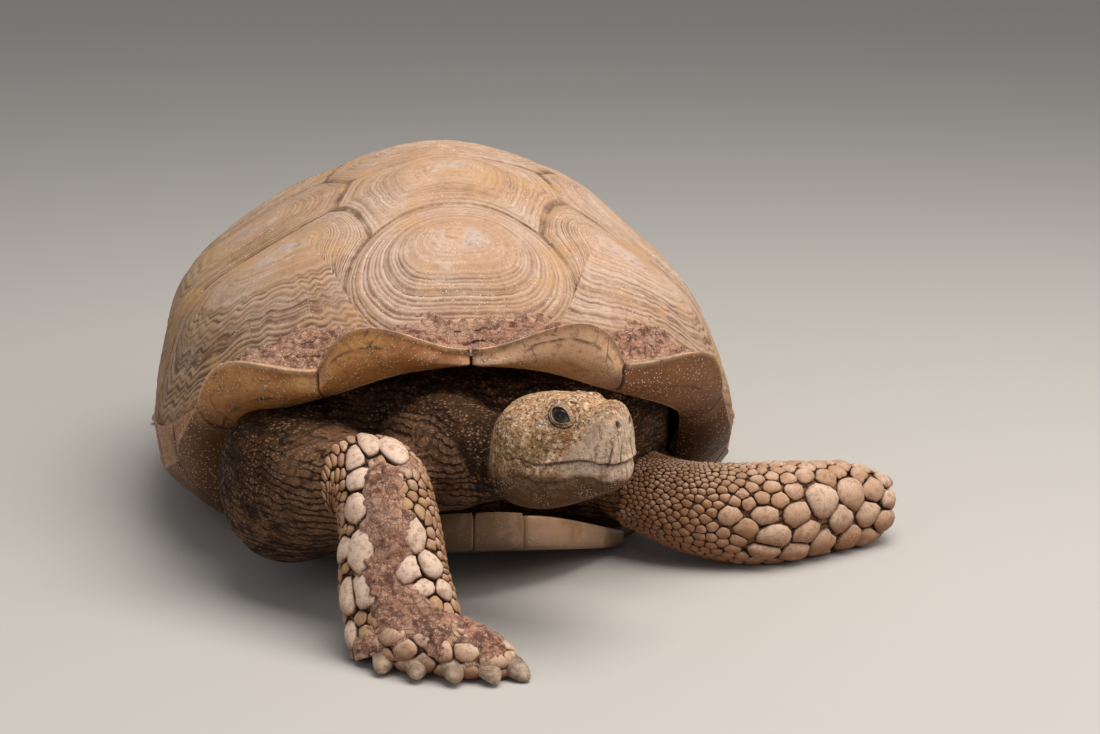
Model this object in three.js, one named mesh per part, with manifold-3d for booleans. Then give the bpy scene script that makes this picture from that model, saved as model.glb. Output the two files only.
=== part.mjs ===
// Adult sulcata tortoise at rest on its plastron, head raised and turned to its left.
// Millimetres. +Z is up, the animal faces -Y and its left side is +X.
// The origin is on the floor under the middle of the plastron, on the shell's midline.
import * as THREE from "three";
import { mergeVertices } from "three/addons/utils/BufferGeometryUtils.js";
import Module from "manifold-3d";

const wasm = await Module();
wasm.setup();

// ---------- driving dimensions ----------
const HALF_WIDTH = 279; // carapace, at its widest
const FRONT_LENGTH = 345; // centre of the carapace to its front
const REAR_LENGTH = 352; // centre of the carapace to its rear
const DOME_BASE = 75; // height of the dome's widest level
const DOME_RISE = 260; // from that level to the top
const FRONT_POWER = 0.8; // 1 gives an oval plan, less gives squarer shoulders
const REAR_POWER = 0.88;
const FLANK = 82; // degrees round from the front of the middle of each flank's own shape
const FLANK_WIDTH = 48;
// How far each flank is flatter than the plain dome, from the top to the marginals.
const LEFT_FLANK = [[0, 0], [0.3, 5], [0.5, 15], [0.7, 6.5], [0.85, 5], [1, 0]];
const RIGHT_FLANK = [[0, 0], [0.3, 12.5], [0.5, 10.5], [0.7, -6.5], [0.85, -0.5], [1, 0]];
const PLATE = 14; // thickness of a carapace scute with the bone under it
const CROWN = 6.5; // how far a scute's middle stands above the dome
const SEAM_GAP = 0.7; // each scute's edge stays this far back from the seam line
const TOUCH_GAP = 0.6; // clearance of a piece that is cut to fit its neighbour
const SHELL_GAP = 1.5; // clearance to the rim, whose section is angular, and of the legs to the neck
const CHART_MM = 450; // length on the dome of one unit of its chart
const MEAN_RADIUS = 300; // of the plan, to turn a length into an angle or a share
const EDGE_THICK = 7; // of the marginal scutes' flared edge
const EDGE_TUCK = 0.004; // how far the edge's underside is set back, as a share of the radius
const GUTTER_PLACE = 0.55; // how far out the hollow behind the edge lies
const ROLL_OUT = 0.8; // direction of the underside's swell
const ROLL_DOWN = 0.3;

const deg = THREE.MathUtils.degToRad;
const lerp = THREE.MathUtils.lerp;
const clamp = THREE.MathUtils.clamp;
const vec = (x, y, z) => new THREE.Vector3(x, y, z);
const signedPower = (v, p) => Math.sign(v) * Math.abs(v) ** p;

// Value of a small table of [position, value] knots, on a smooth cubic through them.
function along(table, at) {
  const last = table.length - 1;
  const x = clamp(at, table[0][0], table[last][0]);
  const i = Math.min(table.findIndex((knot, k) => k === last || x <= table[k + 1][0]), last - 1);
  const slope = (k) => {
    const a = table[Math.max(k - 1, 0)];
    const b = table[Math.min(k + 1, last)];
    return (b[1] - a[1]) / (b[0] - a[0]);
  };
  const [x0, v0] = table[i];
  const [x1, v1] = table[i + 1];
  const w = x1 - x0;
  const u = (x - x0) / w;
  return (2 * u ** 3 - 3 * u ** 2 + 1) * v0 + (u ** 3 - 2 * u ** 2 + u) * w * slope(i) +
    (3 * u ** 2 - 2 * u ** 3) * v1 + (u ** 3 - u ** 2) * w * slope(i + 1);
}

// ---------- meshes and solids ----------
function geometryOf(points, faces) {
  const flat = new Float32Array(points.flatMap((p) => [p.x, p.y, p.z]));
  return new THREE.BufferGeometry()
    .setAttribute("position", new THREE.BufferAttribute(flat, 3))
    .setIndex(faces.flat());
}

// Rings of points joined into one closed surface; a ring of one point closes an end.
function skinned(rings) {
  const points = rings.flat();
  const faces = [];
  let start = 0;
  for (let k = 0; k + 1 < rings.length; k++) {
    const n = rings[k].length;
    const m = rings[k + 1].length;
    const next = start + n;
    for (let i = 0; i < Math.max(n, m); i++) {
      const a = start + (i % n);
      const b = start + ((i + 1) % n);
      const c = next + (i % m);
      const d = next + ((i + 1) % m);
      if (n > 1) faces.push([a, b, c]);
      if (m > 1) faces.push([b, d, c]);
      if (n === 1) faces.splice(-1, 1, [a, d, c]);
    }
    start = next;
  }
  return geometryOf(points, faces);
}

const middleOf = (ring) => ring.reduce((sum, p) => sum.add(p), vec(0, 0, 0)).divideScalar(ring.length);

// Rings of three or more points, with a flat fan over each end.
const closedTube = (rings) => skinned([[middleOf(rings[0])], ...rings, [middleOf(rings.at(-1))]]);

function solidOf(geometry) {
  const bare = geometry.index ? geometry.toNonIndexed() : geometry.clone();
  for (const name of ["normal", "uv"]) bare.deleteAttribute(name);
  const merged = mergeVertices(bare, 1e-3);
  const solid = new wasm.Manifold(new wasm.Mesh({
    numProp: 3,
    vertProperties: merged.attributes.position.array,
    triVerts: new Uint32Array(merged.index.array),
  }));
  if (solid.volume() > 0) return solid;
  throw new Error("a solid is inside out");
}

function geometryFrom(solid) {
  const largest = solid.decompose().sort((a, b) => b.volume() - a.volume())[0];
  const mesh = largest.getMesh();
  const flat = new Float32Array(mesh.numVert * 3);
  for (let i = 0; i < mesh.numVert; i++) {
    flat.set(mesh.vertProperties.subarray(i * mesh.numProp, i * mesh.numProp + 3), i * 3);
  }
  return new THREE.BufferGeometry()
    .setAttribute("position", new THREE.BufferAttribute(flat, 3))
    .setIndex(new THREE.BufferAttribute(new Uint32Array(mesh.triVerts), 1));
}

// The same shape swollen a little, used to cut a neighbour with clearance.
function grown(geometry, by = TOUCH_GAP) {
  const bare = geometry.clone();
  for (const name of ["normal", "uv"]) bare.deleteAttribute(name);
  const merged = mergeVertices(bare, 1e-3);
  merged.computeVertexNormals();
  const position = merged.attributes.position;
  const normal = merged.attributes.normal;
  for (let i = 0; i < position.count; i++) {
    position.setXYZ(i, position.getX(i) + by * normal.getX(i),
      position.getY(i) + by * normal.getY(i), position.getZ(i) + by * normal.getZ(i));
  }
  return merged;
}

const carve = (geometry, ...cutters) => geometryFrom(
  cutters.reduce((solid, cutter) => solid.subtract(solidOf(cutter)), solidOf(geometry)));

const weld = (...geometries) => geometryFrom(
  geometries.slice(1).reduce((solid, g) => solid.add(solidOf(g)), solidOf(geometries[0])));

const FLOOR_BLOCK = new THREE.BoxGeometry(2400, 2400, 200).translate(0, 0, -100);
const flattened = (geometry) => carve(geometry, FLOOR_BLOCK);

// ---------- carapace: dome and rim ----------
// Angles run from the front midline (0) round to the rear midline (180), to either side.
const folded = (angle) => THREE.MathUtils.radToDeg(Math.acos(clamp(Math.cos(angle), -1, 1)));

// Lowest level of the costal scutes, as an angle up the dome.
const DOME_EDGE = [[0, 33], [22, 31], [45, 24], [60, 12.5], [75, 5.5], [90, 3.5], [120, 6], [150, 13],
  [180, 15]];
// Outer edge of the marginal scutes: height, and share of the plan's radius.
const EDGE_HEIGHT = [[0, 219], [10, 214], [22, 204], [50, 155], [58, 116], [65, 86], [72, 67], [80, 55],
  [90, 49], [110, 58], [130, 90], [150, 98], [165, 86], [180, 70]];
const EDGE_REACH = [[0, 0.965], [22, 1.03], [48, 1.03], [58, 1.0], [70, 0.975], [90, 0.985], [120, 1],
  [150, 1.03], [180, 1.05]];
// Lower inner edge of the marginal scutes.
const LIP_HEIGHT = [[0, 203], [10, 196], [22, 175], [45, 136], [54, 106], [61, 48], [67, 19], [75, 15],
  [90, 16], [110, 25], [130, 70], [150, 78], [165, 70], [180, 54]];
const LIP_REACH = [[0, 0.95], [22, 0.975], [45, 0.92], [54, 0.87], [62, 0.82], [70, 0.82], [90, 0.85],
  [110, 0.87], [130, 0.9], [150, 0.93], [180, 0.955]];
const GUTTER = [[0, 7], [50, 6], [70, 0], [130, 2], [180, 3]]; // hollow behind the flared edge
const ROLL = [[0, 7], [50, 9], [70, 4], [180, 4]]; // outward swell of the underside

const planPower = (angle) => (Math.cos(angle) > 0 ? FRONT_POWER : REAR_POWER);
const planX = (angle) => HALF_WIDTH * signedPower(Math.sin(angle), planPower(angle));
const planY = (angle) => -signedPower(Math.cos(angle), planPower(angle)) *
  (Math.cos(angle) > 0 ? FRONT_LENGTH : REAR_LENGTH);

// The flanks' own shapes, each in a bell round the middle of its side.
function flatness(angle, reach) {
  const round = Math.atan2(Math.sin(angle), Math.cos(angle));
  const bell = (middle) => Math.exp(-(((round - deg(middle)) / deg(FLANK_WIDTH)) ** 2));
  return along(LEFT_FLANK, reach) * bell(FLANK) + along(RIGHT_FLANK, reach) * bell(-FLANK);
}

function dome(angle, reach, depth = 0) {
  const below = depth + flatness(angle, reach);
  const tilt = Math.PI / 2 - reach * (Math.PI / 2 - deg(along(DOME_EDGE, folded(angle))));
  const inward = Math.cos(tilt) * (1 - below / MEAN_RADIUS);
  return vec(planX(angle) * inward, planY(angle) * inward, DOME_BASE + (DOME_RISE - below) * Math.sin(tilt));
}

const atRim = (angle, reach, height) => vec(planX(angle) * reach, planY(angle) * reach, height);

// Widths of marginals 1 to 11 and of half the supracaudal, along the rim.
const MARGINAL_WIDTHS = [136, 140, 82, 86, 86, 86, 84, 84, 86, 86, 72, 44];
const BUMP_UP = [33, 26, 4, 2, 1, 1, 2, 3, 4, 4, 3, 0];
const BUMP_OUT = [20, 12, 4, 2, 1, 1, 3, 6, 8, 8, 6, 2];

// Rim angles at which the marginal scutes meet, spaced by the widths above.
const SUTURES = (() => {
  const steps = 720;
  const lengths = [0];
  for (let i = 1; i <= steps; i++) {
    const a = (Math.PI * (i - 1)) / steps;
    const b = (Math.PI * i) / steps;
    lengths.push(lengths.at(-1) + Math.hypot(planX(b) - planX(a), planY(b) - planY(a)));
  }
  const total = MARGINAL_WIDTHS.reduce((sum, w) => sum + w, 0);
  let run = 0;
  return [0, ...MARGINAL_WIDTHS.map((width) => {
    run += width;
    const goal = (run / total) * lengths.at(-1);
    const i = lengths.findIndex((length) => length >= goal - 1e-9);
    const share = (goal - lengths[i - 1]) / (lengths[i] - lengths[i - 1]);
    return (Math.PI * (i - 1 + share)) / steps;
  })];
})();
const sampleShares = (index) => (index < 3 ? [0, 0.3, 0.6, 0.85, 1] : [0, 1 / 3, 2 / 3, 1]);
// The front three bulge most beyond their middles.
const bumpAt = (index, share) => Math.max(0, Math.sin(Math.PI * share ** (index < 3 ? 1.4 : 1)));

// Section of a marginal scute at a rim angle; bump is 0 at its sutures and 1 at its middle.
function marginalSection(angle, index, bump) {
  const at = folded(angle);
  const edgeReach = along(EDGE_REACH, at) + (BUMP_OUT[index] * bump) / FRONT_LENGTH;
  const edgeHeight = along(EDGE_HEIGHT, at) + BUMP_UP[index] * bump;
  const seam = 1 + SEAM_GAP / CHART_MM;
  const top = dome(angle, seam);
  const topInner = dome(angle, seam, PLATE);
  const edge = atRim(angle, edgeReach, edgeHeight);
  const edgeUnder = atRim(angle, edgeReach - EDGE_TUCK, edgeHeight - EDGE_THICK);
  const lip = atRim(angle, along(LIP_REACH, at), along(LIP_HEIGHT, at));
  const gutter = top.clone().lerp(edge, GUTTER_PLACE).add(vec(0, 0, -along(GUTTER, at)));
  const swell = along(ROLL, at);
  const outward = atRim(angle, 1, 0).normalize();
  const under = edgeUnder.clone().lerp(lip, 0.5).addScaledVector(outward, swell * ROLL_OUT);
  under.z -= swell * ROLL_DOWN;
  return [top, gutter, edge, edgeUnder, under, lip, topInner];
}

function marginal(index, side) {
  const start = SUTURES[index];
  const end = SUTURES[index + 1];
  const inset = SEAM_GAP / MEAN_RADIUS;
  const rings = sampleShares(index).map((share) => {
    const angle = lerp(start + inset, end - inset, share);
    return marginalSection(side * angle, index, bumpAt(index, share));
  });
  if (side < 0) rings.reverse();
  return closedTube(rings);
}

function supracaudal() {
  const half = Math.PI - SUTURES[11] - SEAM_GAP / MEAN_RADIUS;
  const rings = [-1, -0.5, 0, 0.5, 1].map((share) =>
    marginalSection(Math.PI + share * half, 11, Math.cos((Math.PI / 2) * share)));
  return closedTube(rings);
}

// ---------- carapace: vertebral and costal scutes ----------
const chartAt = (angle, reach) => [reach * Math.sin(angle), -reach * Math.cos(angle)];

// Chart position of the dome's point over plan position x, y.
function chartOf(x, y) {
  const [length, power] = y < 0 ? [FRONT_LENGTH, FRONT_POWER] : [REAR_LENGTH, REAR_POWER];
  const a = (Math.abs(x) / HALF_WIDTH) ** (1 / power);
  const b = (Math.abs(y) / length) ** (1 / power);
  const turn = Math.atan2(a, b);
  const angle = (y < 0 ? turn : Math.PI - turn) * (x < 0 ? -1 : 1);
  const tilt = Math.acos(Math.min(1, Math.hypot(a, b) ** power));
  return chartAt(angle, (Math.PI / 2 - tilt) / (Math.PI / 2 - deg(along(DOME_EDGE, folded(angle)))));
}

function fromChart([u, v], depth) {
  return dome(Math.atan2(u, -v), Math.hypot(u, v), depth);
}

// Where vertebral and costal scutes meet, in plan, on the animal's left.
const MEETS = {
  a: [78, -185], b: [112, -100], c: [94, -24], d: [116, 32], e: [92, 94], f: [105, 150], g: [72, 206],
};
const meet = (key, side) => chartOf(side * MEETS[key][0], MEETS[key][1]);

const VERTEBRAL_ONE_ANGLE = lerp(0, SUTURES[1], 0.6); // where vertebral 1 ends on the rim
const COSTAL_ENDS = [VERTEBRAL_ONE_ANGLE, SUTURES[4], SUTURES[6], SUTURES[8], SUTURES[10]];

// Seam between two chart points; bow is the middle's sideways shift as a share of its length.
function seam(from, to, bow = 0, pieces = 2) {
  const dx = to[0] - from[0];
  const dy = to[1] - from[1];
  return Array.from({ length: pieces }, (_, i) => {
    const t = i / pieces;
    const push = 4 * bow * t * (1 - t);
    return [from[0] + dx * t + dy * push, from[1] + dy * t - dx * push];
  });
}

// Points along the rim between two angles, at the marginal scutes' own sample angles.
function rimRun(from, to) {
  const stops = MARGINAL_WIDTHS.flatMap((_, i) =>
    sampleShares(i).map((share) => lerp(SUTURES[i], SUTURES[i + 1], share)));
  const all = [...stops, ...stops.map((s) => -s), ...stops.map((s) => 2 * Math.PI - s)];
  const low = Math.min(from, to);
  const high = Math.max(from, to);
  const inside = all.filter((s) => s > low + 1e-6 && s < high - 1e-6).sort((p, q) => p - q);
  const unique = inside.filter((s, i) => i === 0 || s - inside[i - 1] > 1e-6);
  const run = [low, ...unique];
  if (from < to) return run.map((s) => chartAt(s, 1));
  return [high, ...unique.reverse()].map((s) => chartAt(s, 1));
}

const V1_BOW = 0.24; // of the round sides of vertebral 1
const V1_PIECES = 3;
const FIRST_SEAM_BOW = 0.22; // of the seam behind vertebral 1
const COSTAL_BOW = 0.04; // of the seams between costals
const LONG_PIECES = 4; // of the seams that run far over the dome

// Outlines run anticlockwise seen from above.
function vertebralOutline(number) {
  const rimPoint = (angle) => chartAt(angle, 1);
  if (number === 1) {
    const end = VERTEBRAL_ONE_ANGLE;
    return [...rimRun(-end, end), ...seam(rimPoint(end), meet("a", 1), V1_BOW, V1_PIECES),
      ...seam(meet("a", 1), meet("a", -1), FIRST_SEAM_BOW, LONG_PIECES),
      ...seam(meet("a", -1), rimPoint(-end), V1_BOW, V1_PIECES)];
  }
  if (number === 5) {
    const end = COSTAL_ENDS[4];
    return [...seam(meet("g", -1), meet("g", 1)), ...seam(meet("g", 1), rimPoint(end)),
      ...rimRun(end, 2 * Math.PI - end), ...seam(rimPoint(-end), meet("g", -1))];
  }
  const [front, side, rear] = [["a", "b", "c"], ["c", "d", "e"], ["e", "f", "g"]][number - 2];
  const bowed = number === 2 ? [-FIRST_SEAM_BOW, LONG_PIECES] : [];
  const frontSeam = seam(meet(front, -1), meet(front, 1), ...bowed);
  return [...frontSeam, ...seam(meet(front, 1), meet(side, 1)), ...seam(meet(side, 1), meet(rear, 1)),
    ...seam(meet(rear, 1), meet(rear, -1)), ...seam(meet(rear, -1), meet(side, -1)),
    ...seam(meet(side, -1), meet(front, -1))];
}

function costalOutline(number, side) {
  const from = COSTAL_ENDS[number - 1];
  const to = COSTAL_ENDS[number];
  const corners = [["b", "a"], ["d", "c", "b"], ["f", "e", "d"], ["g", "f"]][number - 1];
  const inner = corners.slice(1).flatMap((key, i) => seam(meet(corners[i], 1), meet(key, 1)));
  const frontBow = number === 1 ? V1_BOW : COSTAL_BOW;
  const rearBow = number === 4 ? 0 : COSTAL_BOW;
  const frontPieces = number === 1 ? V1_PIECES : LONG_PIECES;
  const outline = [...rimRun(from, to), ...seam(chartAt(to, 1), meet(corners[0], 1), rearBow, LONG_PIECES),
    ...inner, ...seam(meet(corners.at(-1), 1), chartAt(from, 1), -frontBow, frontPieces)];
  if (side > 0) return outline;
  return outline.map(([u, v]) => [-u, v]).reverse();
}

// A scute as a thick tile: a crowned outer face, an inner face and a wall along its seams.
function scute(outline, crown = CROWN) {
  const sum = outline.reduce((s, p) => [s[0] + p[0], s[1] + p[1]], [0, 0]);
  const middle = [sum[0] / outline.length, sum[1] / outline.length];
  const ringAt = (share, rise, depth) => outline.map(([u, v]) => {
    const reach = Math.hypot(u - middle[0], v - middle[1]);
    const t = share * (1 - SEAM_GAP / CHART_MM / reach);
    const place = [lerp(middle[0], u, t), lerp(middle[1], v, t)];
    return fromChart(place, depth - rise);
  });
  const outer = [[0.45, 0.9 * crown], [0.85, 0.35 * crown], [1, -1]].map(([t, rise]) => ringAt(t, rise, 0));
  const inner = [0.55, 1].map((t) => ringAt(t, 0, PLATE));
  const [bottom, top] = [PLATE, -crown].map((depth) => [fromChart(middle, depth)]);
  return skinned([bottom, ...inner, ...outer.reverse(), top]);
}

// ---------- plastron ----------
const GULAR_WIDTH = 44;
const HUMERAL_WIDTH = 150;
const BRIDGE_REACH = 222; // half the plastron's width where it meets the carapace
const BRIDGE_RISE = 28;
const FLAT_FRONT = -200; // ahead of this the plastron rises towards the gular scutes
const GULAR_TIP = -352;
const GULAR_RISE = 47; // underside of the gular lip above the floor
const PLASTRON_THICK = 12;
const GULAR_THICK = 33;
const GULAR_REAR = -275; // on the midline
const GULAR_CORNER = -337; // where the gular and humeral scutes meet at the edge
const HUMERAL_CORNER = -220; // where the plastron's front edge meets the bridge
const HUMERAL_REAR = -194;
const PECTORAL_REAR = -138;
const ABDOMINAL_REAR = 64;
const FEMORAL_REAR = 168;
const ANAL_REAR = 214;

const rise = (x, y) => {
  const forward = clamp((FLAT_FRONT - y) / (FLAT_FRONT - GULAR_TIP), 0, 1);
  const outward = clamp((Math.abs(x) - HUMERAL_WIDTH) / (BRIDGE_REACH - HUMERAL_WIDTH), 0, 1);
  return GULAR_RISE * forward ** 1.3 + BRIDGE_RISE * outward ** 1.5;
};
// The midline seam wanders to the animal's right under the middle of the plastron.
const midline = (y) => -9 * Math.exp(-(((y + 20) / 60) ** 2));
const plateThickness = (y) =>
  lerp(PLASTRON_THICK, GULAR_THICK, clamp((FLAT_FRONT - y) / (FLAT_FRONT - GULAR_TIP), 0, 1));

// Each scute spans from its front edge to its rear edge, both as functions of x.
const bridge = (x) => clamp((x - HUMERAL_WIDTH) / (BRIDGE_REACH - HUMERAL_WIDTH), 0, 1);
const gularRear = (x) => lerp(GULAR_REAR, GULAR_CORNER, x / GULAR_WIDTH);
const humeralFront = (x) => (x < GULAR_WIDTH ? gularRear(x)
  : lerp(GULAR_CORNER, HUMERAL_CORNER, ((x - GULAR_WIDTH) / (HUMERAL_WIDTH - GULAR_WIDTH)) ** 1.7));
const pectoralRear = (x) => PECTORAL_REAR + 20 * (x / BRIDGE_REACH);
const femoralRear = (x) => FEMORAL_REAR - 26 * (x / 138) ** 2;
const PLASTRON_SCUTES = {
  gular: { width: GULAR_WIDTH, front: (x) => GULAR_TIP + 8 * (x / GULAR_WIDTH) ** 3, rear: gularRear },
  humeral: { width: HUMERAL_WIDTH, front: humeralFront, rear: () => HUMERAL_REAR },
  pectoral: { width: BRIDGE_REACH, front: (x) => HUMERAL_REAR + 48 * bridge(x), rear: pectoralRear },
  abdominal: { width: BRIDGE_REACH, front: pectoralRear, rear: (x) => ABDOMINAL_REAR + 24 * bridge(x) },
  femoral: { width: 138, front: () => ABDOMINAL_REAR, rear: femoralRear },
  anal: { width: 104, front: femoralRear, rear: (x) => ANAL_REAR + 34 * Math.sin((Math.PI * x) / 125) },
};

function plastronScute({ width, front, rear }, side) {
  const across = 5;
  const lengthwise = 3;
  const point = (i, j, top) => {
    const x = lerp(SEAM_GAP, width, i / across);
    const y = lerp(front(x) + SEAM_GAP, rear(x) - SEAM_GAP, j / lengthwise);
    const shift = midline(y) * (1 - i / across);
    return vec(side * x + shift, y, rise(x, y) + (top ? plateThickness(y) : 0));
  };
  const cells = (across + 1) * (lengthwise + 1);
  const points = [false, true].flatMap((top) => Array.from({ length: cells }, (_, k) =>
    point(Math.floor(k / (lengthwise + 1)), k % (lengthwise + 1), top)));
  const id = (i, j, top) => i * (lengthwise + 1) + j + (top ? cells : 0);
  const faces = [];
  const quad = (a, b, c, d) => faces.push([a, b, c], [a, c, d]);
  for (let i = 0; i < across; i++) {
    for (let j = 0; j < lengthwise; j++) {
      quad(id(i, j, true), id(i + 1, j, true), id(i + 1, j + 1, true), id(i, j + 1, true));
      quad(id(i, j, false), id(i, j + 1, false), id(i + 1, j + 1, false), id(i + 1, j, false));
    }
    quad(id(i, 0, false), id(i + 1, 0, false), id(i + 1, 0, true), id(i, 0, true));
    quad(id(i + 1, lengthwise, false), id(i, lengthwise, false), id(i, lengthwise, true),
      id(i + 1, lengthwise, true));
  }
  for (let j = 0; j < lengthwise; j++) {
    quad(id(0, j + 1, false), id(0, j, false), id(0, j, true), id(0, j + 1, true));
    quad(id(across, j, false), id(across, j + 1, false), id(across, j + 1, true), id(across, j, true));
  }
  if (side < 0) faces.forEach((f) => f.reverse());
  return geometryOf(points, faces);
}

// ---------- trunk ----------
// Levels of the body inside the shell: height, then shares of the half width, front and rear lengths.
const TRUNK_INSET = 36;
const TRUNK_LOW = [[14, 0.5, 0.57, 0.48], [30, 0.62, 0.68, 0.6], [60, 0.75, 0.8, 0.73],
  [95, 0.82, 0.875, 0.83], [130, 0.865, 0.915, 0.87], [158, 0.85, 0.905, 0.855], [180, 0.815, 0.88, 0.82]];
const TRUNK_HIGH = [0.53, 0.68, 0.81, 0.91, 0.98]; // shares of the way from the base to the top

function trunk() {
  const around = 18;
  const ring = (height, shares) => Array.from({ length: around }, (_, i) => {
    const a = (2 * Math.PI * i) / around;
    return vec(planX(a) * shares[0], planY(a) * (Math.cos(a) > 0 ? shares[1] : shares[2]), height);
  });
  const high = TRUNK_HIGH.map((up) => {
    const share = Math.sqrt(1 - up ** 2) * (1 - TRUNK_INSET / HALF_WIDTH);
    return ring(DOME_BASE + up * (DOME_RISE - TRUNK_INSET), [share, share, share]);
  });
  const low = TRUNK_LOW.map(([height, ...shares]) => ring(height, shares));
  return closedTube([...low, ...high]);
}

// ---------- limbs, neck and tail as tubes through a few stations ----------
// A station is [x, y, z, half width, half thickness]; wide is the direction of the half width.
function tube(stations, wide, steps = 10, around = 14, squareness = 0.9) {
  const n = stations.length - 1;
  const value = (column, t) => along(stations.map((s, i) => [i, s[column]]), t);
  const centre = (t) => vec(value(0, t), value(1, t), value(2, t));
  const rings = Array.from({ length: steps + 1 }, (_, k) => {
    const t = (n * k) / steps;
    const forward = centre(Math.min(t + 0.05, n)).sub(centre(Math.max(t - 0.05, 0))).normalize();
    const side = wide.clone().addScaledVector(forward, -wide.dot(forward)).normalize();
    const up = forward.clone().cross(side);
    return Array.from({ length: around }, (_, i) => {
      const a = (2 * Math.PI * i) / around;
      return centre(t).addScaledVector(side, value(3, t) * signedPower(Math.cos(a), squareness))
        .addScaledVector(up, value(4, t) * signedPower(Math.sin(a), squareness));
    });
  });
  return closedTube(rings);
}

// A claw: a short cone bent down, from its root, along a heading on the floor plane.
function claw(root, heading, length, radius, drop) {
  const [dx, dy] = [Math.sin(deg(heading)), -Math.cos(deg(heading))];
  const station = (share, size, fall) => [root[0] + dx * length * share, root[1] + dy * length * share,
    root[2] - fall, radius * size, radius * size * 0.8];
  return tube([station(-0.5, 0.9, 0), station(0.2, 1, drop * 0.1), station(0.7, 0.72, drop * 0.5),
    station(1, 0.25, drop)], vec(-dy, dx, 0), 3, 5, 1);
}

// Forelegs, hind legs, tail and neck. Headings are degrees from the animal's front towards its left.
const RIGHT_FORELEG = {
  stations: [[-140, -205, 94, 60, 60], [-152, -285, 92, 66, 72], [-122, -350, 106, 60, 55],
    [-86, -396, 118, 43, 38], [-76, -432, 94, 41, 35], [-74, -456, 56, 45, 33], [-68, -474, 26, 46, 34],
    [-64, -484, 6, 46, 36]],
  hand: [[-92, -470, 15, 17, 13], [-66, -498, 20, 28, 21], [-34, -514, 19, 29, 21], [-2, -522, 13, 26, 15],
    [14, -524, 9, 14, 9]],
  wide: vec(1, -0.25, 0.1),
  claws: [[-84, -504, 12, -12], [-61, -521, 13, -3], [-35, -532, 13, 7], [-9, -535, 12, 20],
    [11, -530, 10, 34]],
  clawSize: [26, 11, 7],
};
const LEFT_FORELEG = {
  stations: [[128, -205, 72, 42, 42], [166, -242, 61, 36, 36], [208, -260, 50, 41, 41],
    [260, -262, 43, 45, 43], [305, -247, 41, 43, 38], [344, -230, 38, 40, 32], [374, -219, 36, 34, 26],
    [387, -210, 36, 27, 20]],
  wide: vec(0, 0.1, 1),
  claws: [[371, -228, 11, 108], [385, -220, 24, 110], [390, -212, 39, 112], [388, -208, 54, 114]],
  clawSize: [20, 10, 4],
};
const HIND_LEG = {
  stations: [[112, 150, 62, 46, 44], [158, 196, 60, 50, 46], [196, 232, 52, 50, 47], [214, 254, 26, 48, 46],
    [222, 262, 4, 50, 47], [222, 262, -8, 50, 47]],
  wide: vec(1, 0.6, 0),
  claws: [[244, 220, 12, 48], [262, 238, 13, 66], [270, 260, 13, 84], [262, 284, 12, 104]],
  clawSize: [24, 11, 6],
};
const TAIL = [[0, 262, 70, 30, 26], [4, 305, 62, 25, 22], [16, 338, 48, 17, 15], [38, 358, 36, 10, 9],
  [54, 362, 30, 4, 4]];
const NECK = [[-22, -262, 116, 64, 63], [-24, -310, 124, 60, 58], [-18, -352, 133, 52, 50],
  [0, -388, 140, 42, 43], [26, -412, 146, 34, 36]];

const mirrored = (spec) => ({
  ...spec,
  stations: spec.stations.map(([x, ...rest]) => [-x, ...rest]),
  wide: vec(-spec.wide.x, spec.wide.y, spec.wide.z),
  claws: spec.claws.map(([x, y, z, heading]) => [-x, y, z, -heading]),
});

function leg({ stations, wide, hand, claws, clawSize }) {
  const [length, radius, drop] = clawSize;
  const limb = tube(stations, wide, 9, 12);
  const palms = hand ? [tube(hand, vec(0, 1, 0), 5, 10)] : [];
  const nails = claws.map(([x, y, z, heading]) => claw([x, y, z], heading, length, radius, drop));
  return flattened(weld(limb, ...palms, ...nails));
}

// ---------- head ----------
// The head's own frame: x forward from the nape, y to its left, z up from the mouth line.
const HEAD_PLACE = vec(24, -406, 149); // of the nape, at the mouth line's level
const HEAD_YAW = -40; // turn of the head's x axis from +X towards -Y, in degrees
const HEAD_PITCH = 5; // nose up
// Station: x, half width, top and underside.
const HEAD_STATIONS = [[0, 27, 28, -32], [10, 36, 42, -41], [29, 41, 50, -44], [52, 39, 52, -42],
  [70, 34, 52, -37], [87, 28.5, 50, -31], [101, 24, 48, -26], [109, 21, 45, -22], [113.5, 16, 39, -16],
  [115.5, 10, 32, -9]];
const EYE_RADIUS = 9.5;
const EYE_PLACE = [71, 21, 38.5];
const MOUTH_CORNER = 30; // how far ahead of the nape the mouth ends
const MOUTH_BLOCK = [130, 60, 80]; // reach, half width and depth of what holds the whole lower jaw
const LEVEL_SHARE = 0.48; // height of the head's widest level, as a share of its section

function headPlaced(geometry) {
  const turn = new THREE.Matrix4().makeRotationZ(deg(HEAD_YAW));
  const pitch = new THREE.Matrix4().makeRotationY(-deg(HEAD_PITCH));
  const move = new THREE.Matrix4().makeTranslation(HEAD_PLACE.x, HEAD_PLACE.y, HEAD_PLACE.z);
  return geometry.applyMatrix4(move.multiply(turn).multiply(pitch));
}

function wholeHead() {
  const around = 16;
  const n = HEAD_STATIONS.length - 1;
  const value = (column, t) => along(HEAD_STATIONS.map((s, i) => [i, s[column]]), t);
  const steps = 12;
  const rings = Array.from({ length: steps + 1 }, (_, k) => {
    const t = (n * k) / steps;
    const [x, half, top, under] = [0, 1, 2, 3].map((column) => value(column, t));
    const level = lerp(under, top, LEVEL_SHARE);
    return Array.from({ length: around }, (_, i) => {
      const a = (2 * Math.PI * i) / around;
      const up = Math.sin(a);
      const z = level + signedPower(up, 0.8) * (up > 0 ? top - level : level - under);
      return vec(x, half * signedPower(Math.cos(a), 0.8), z);
    });
  });
  return closedTube(rings);
}

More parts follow.
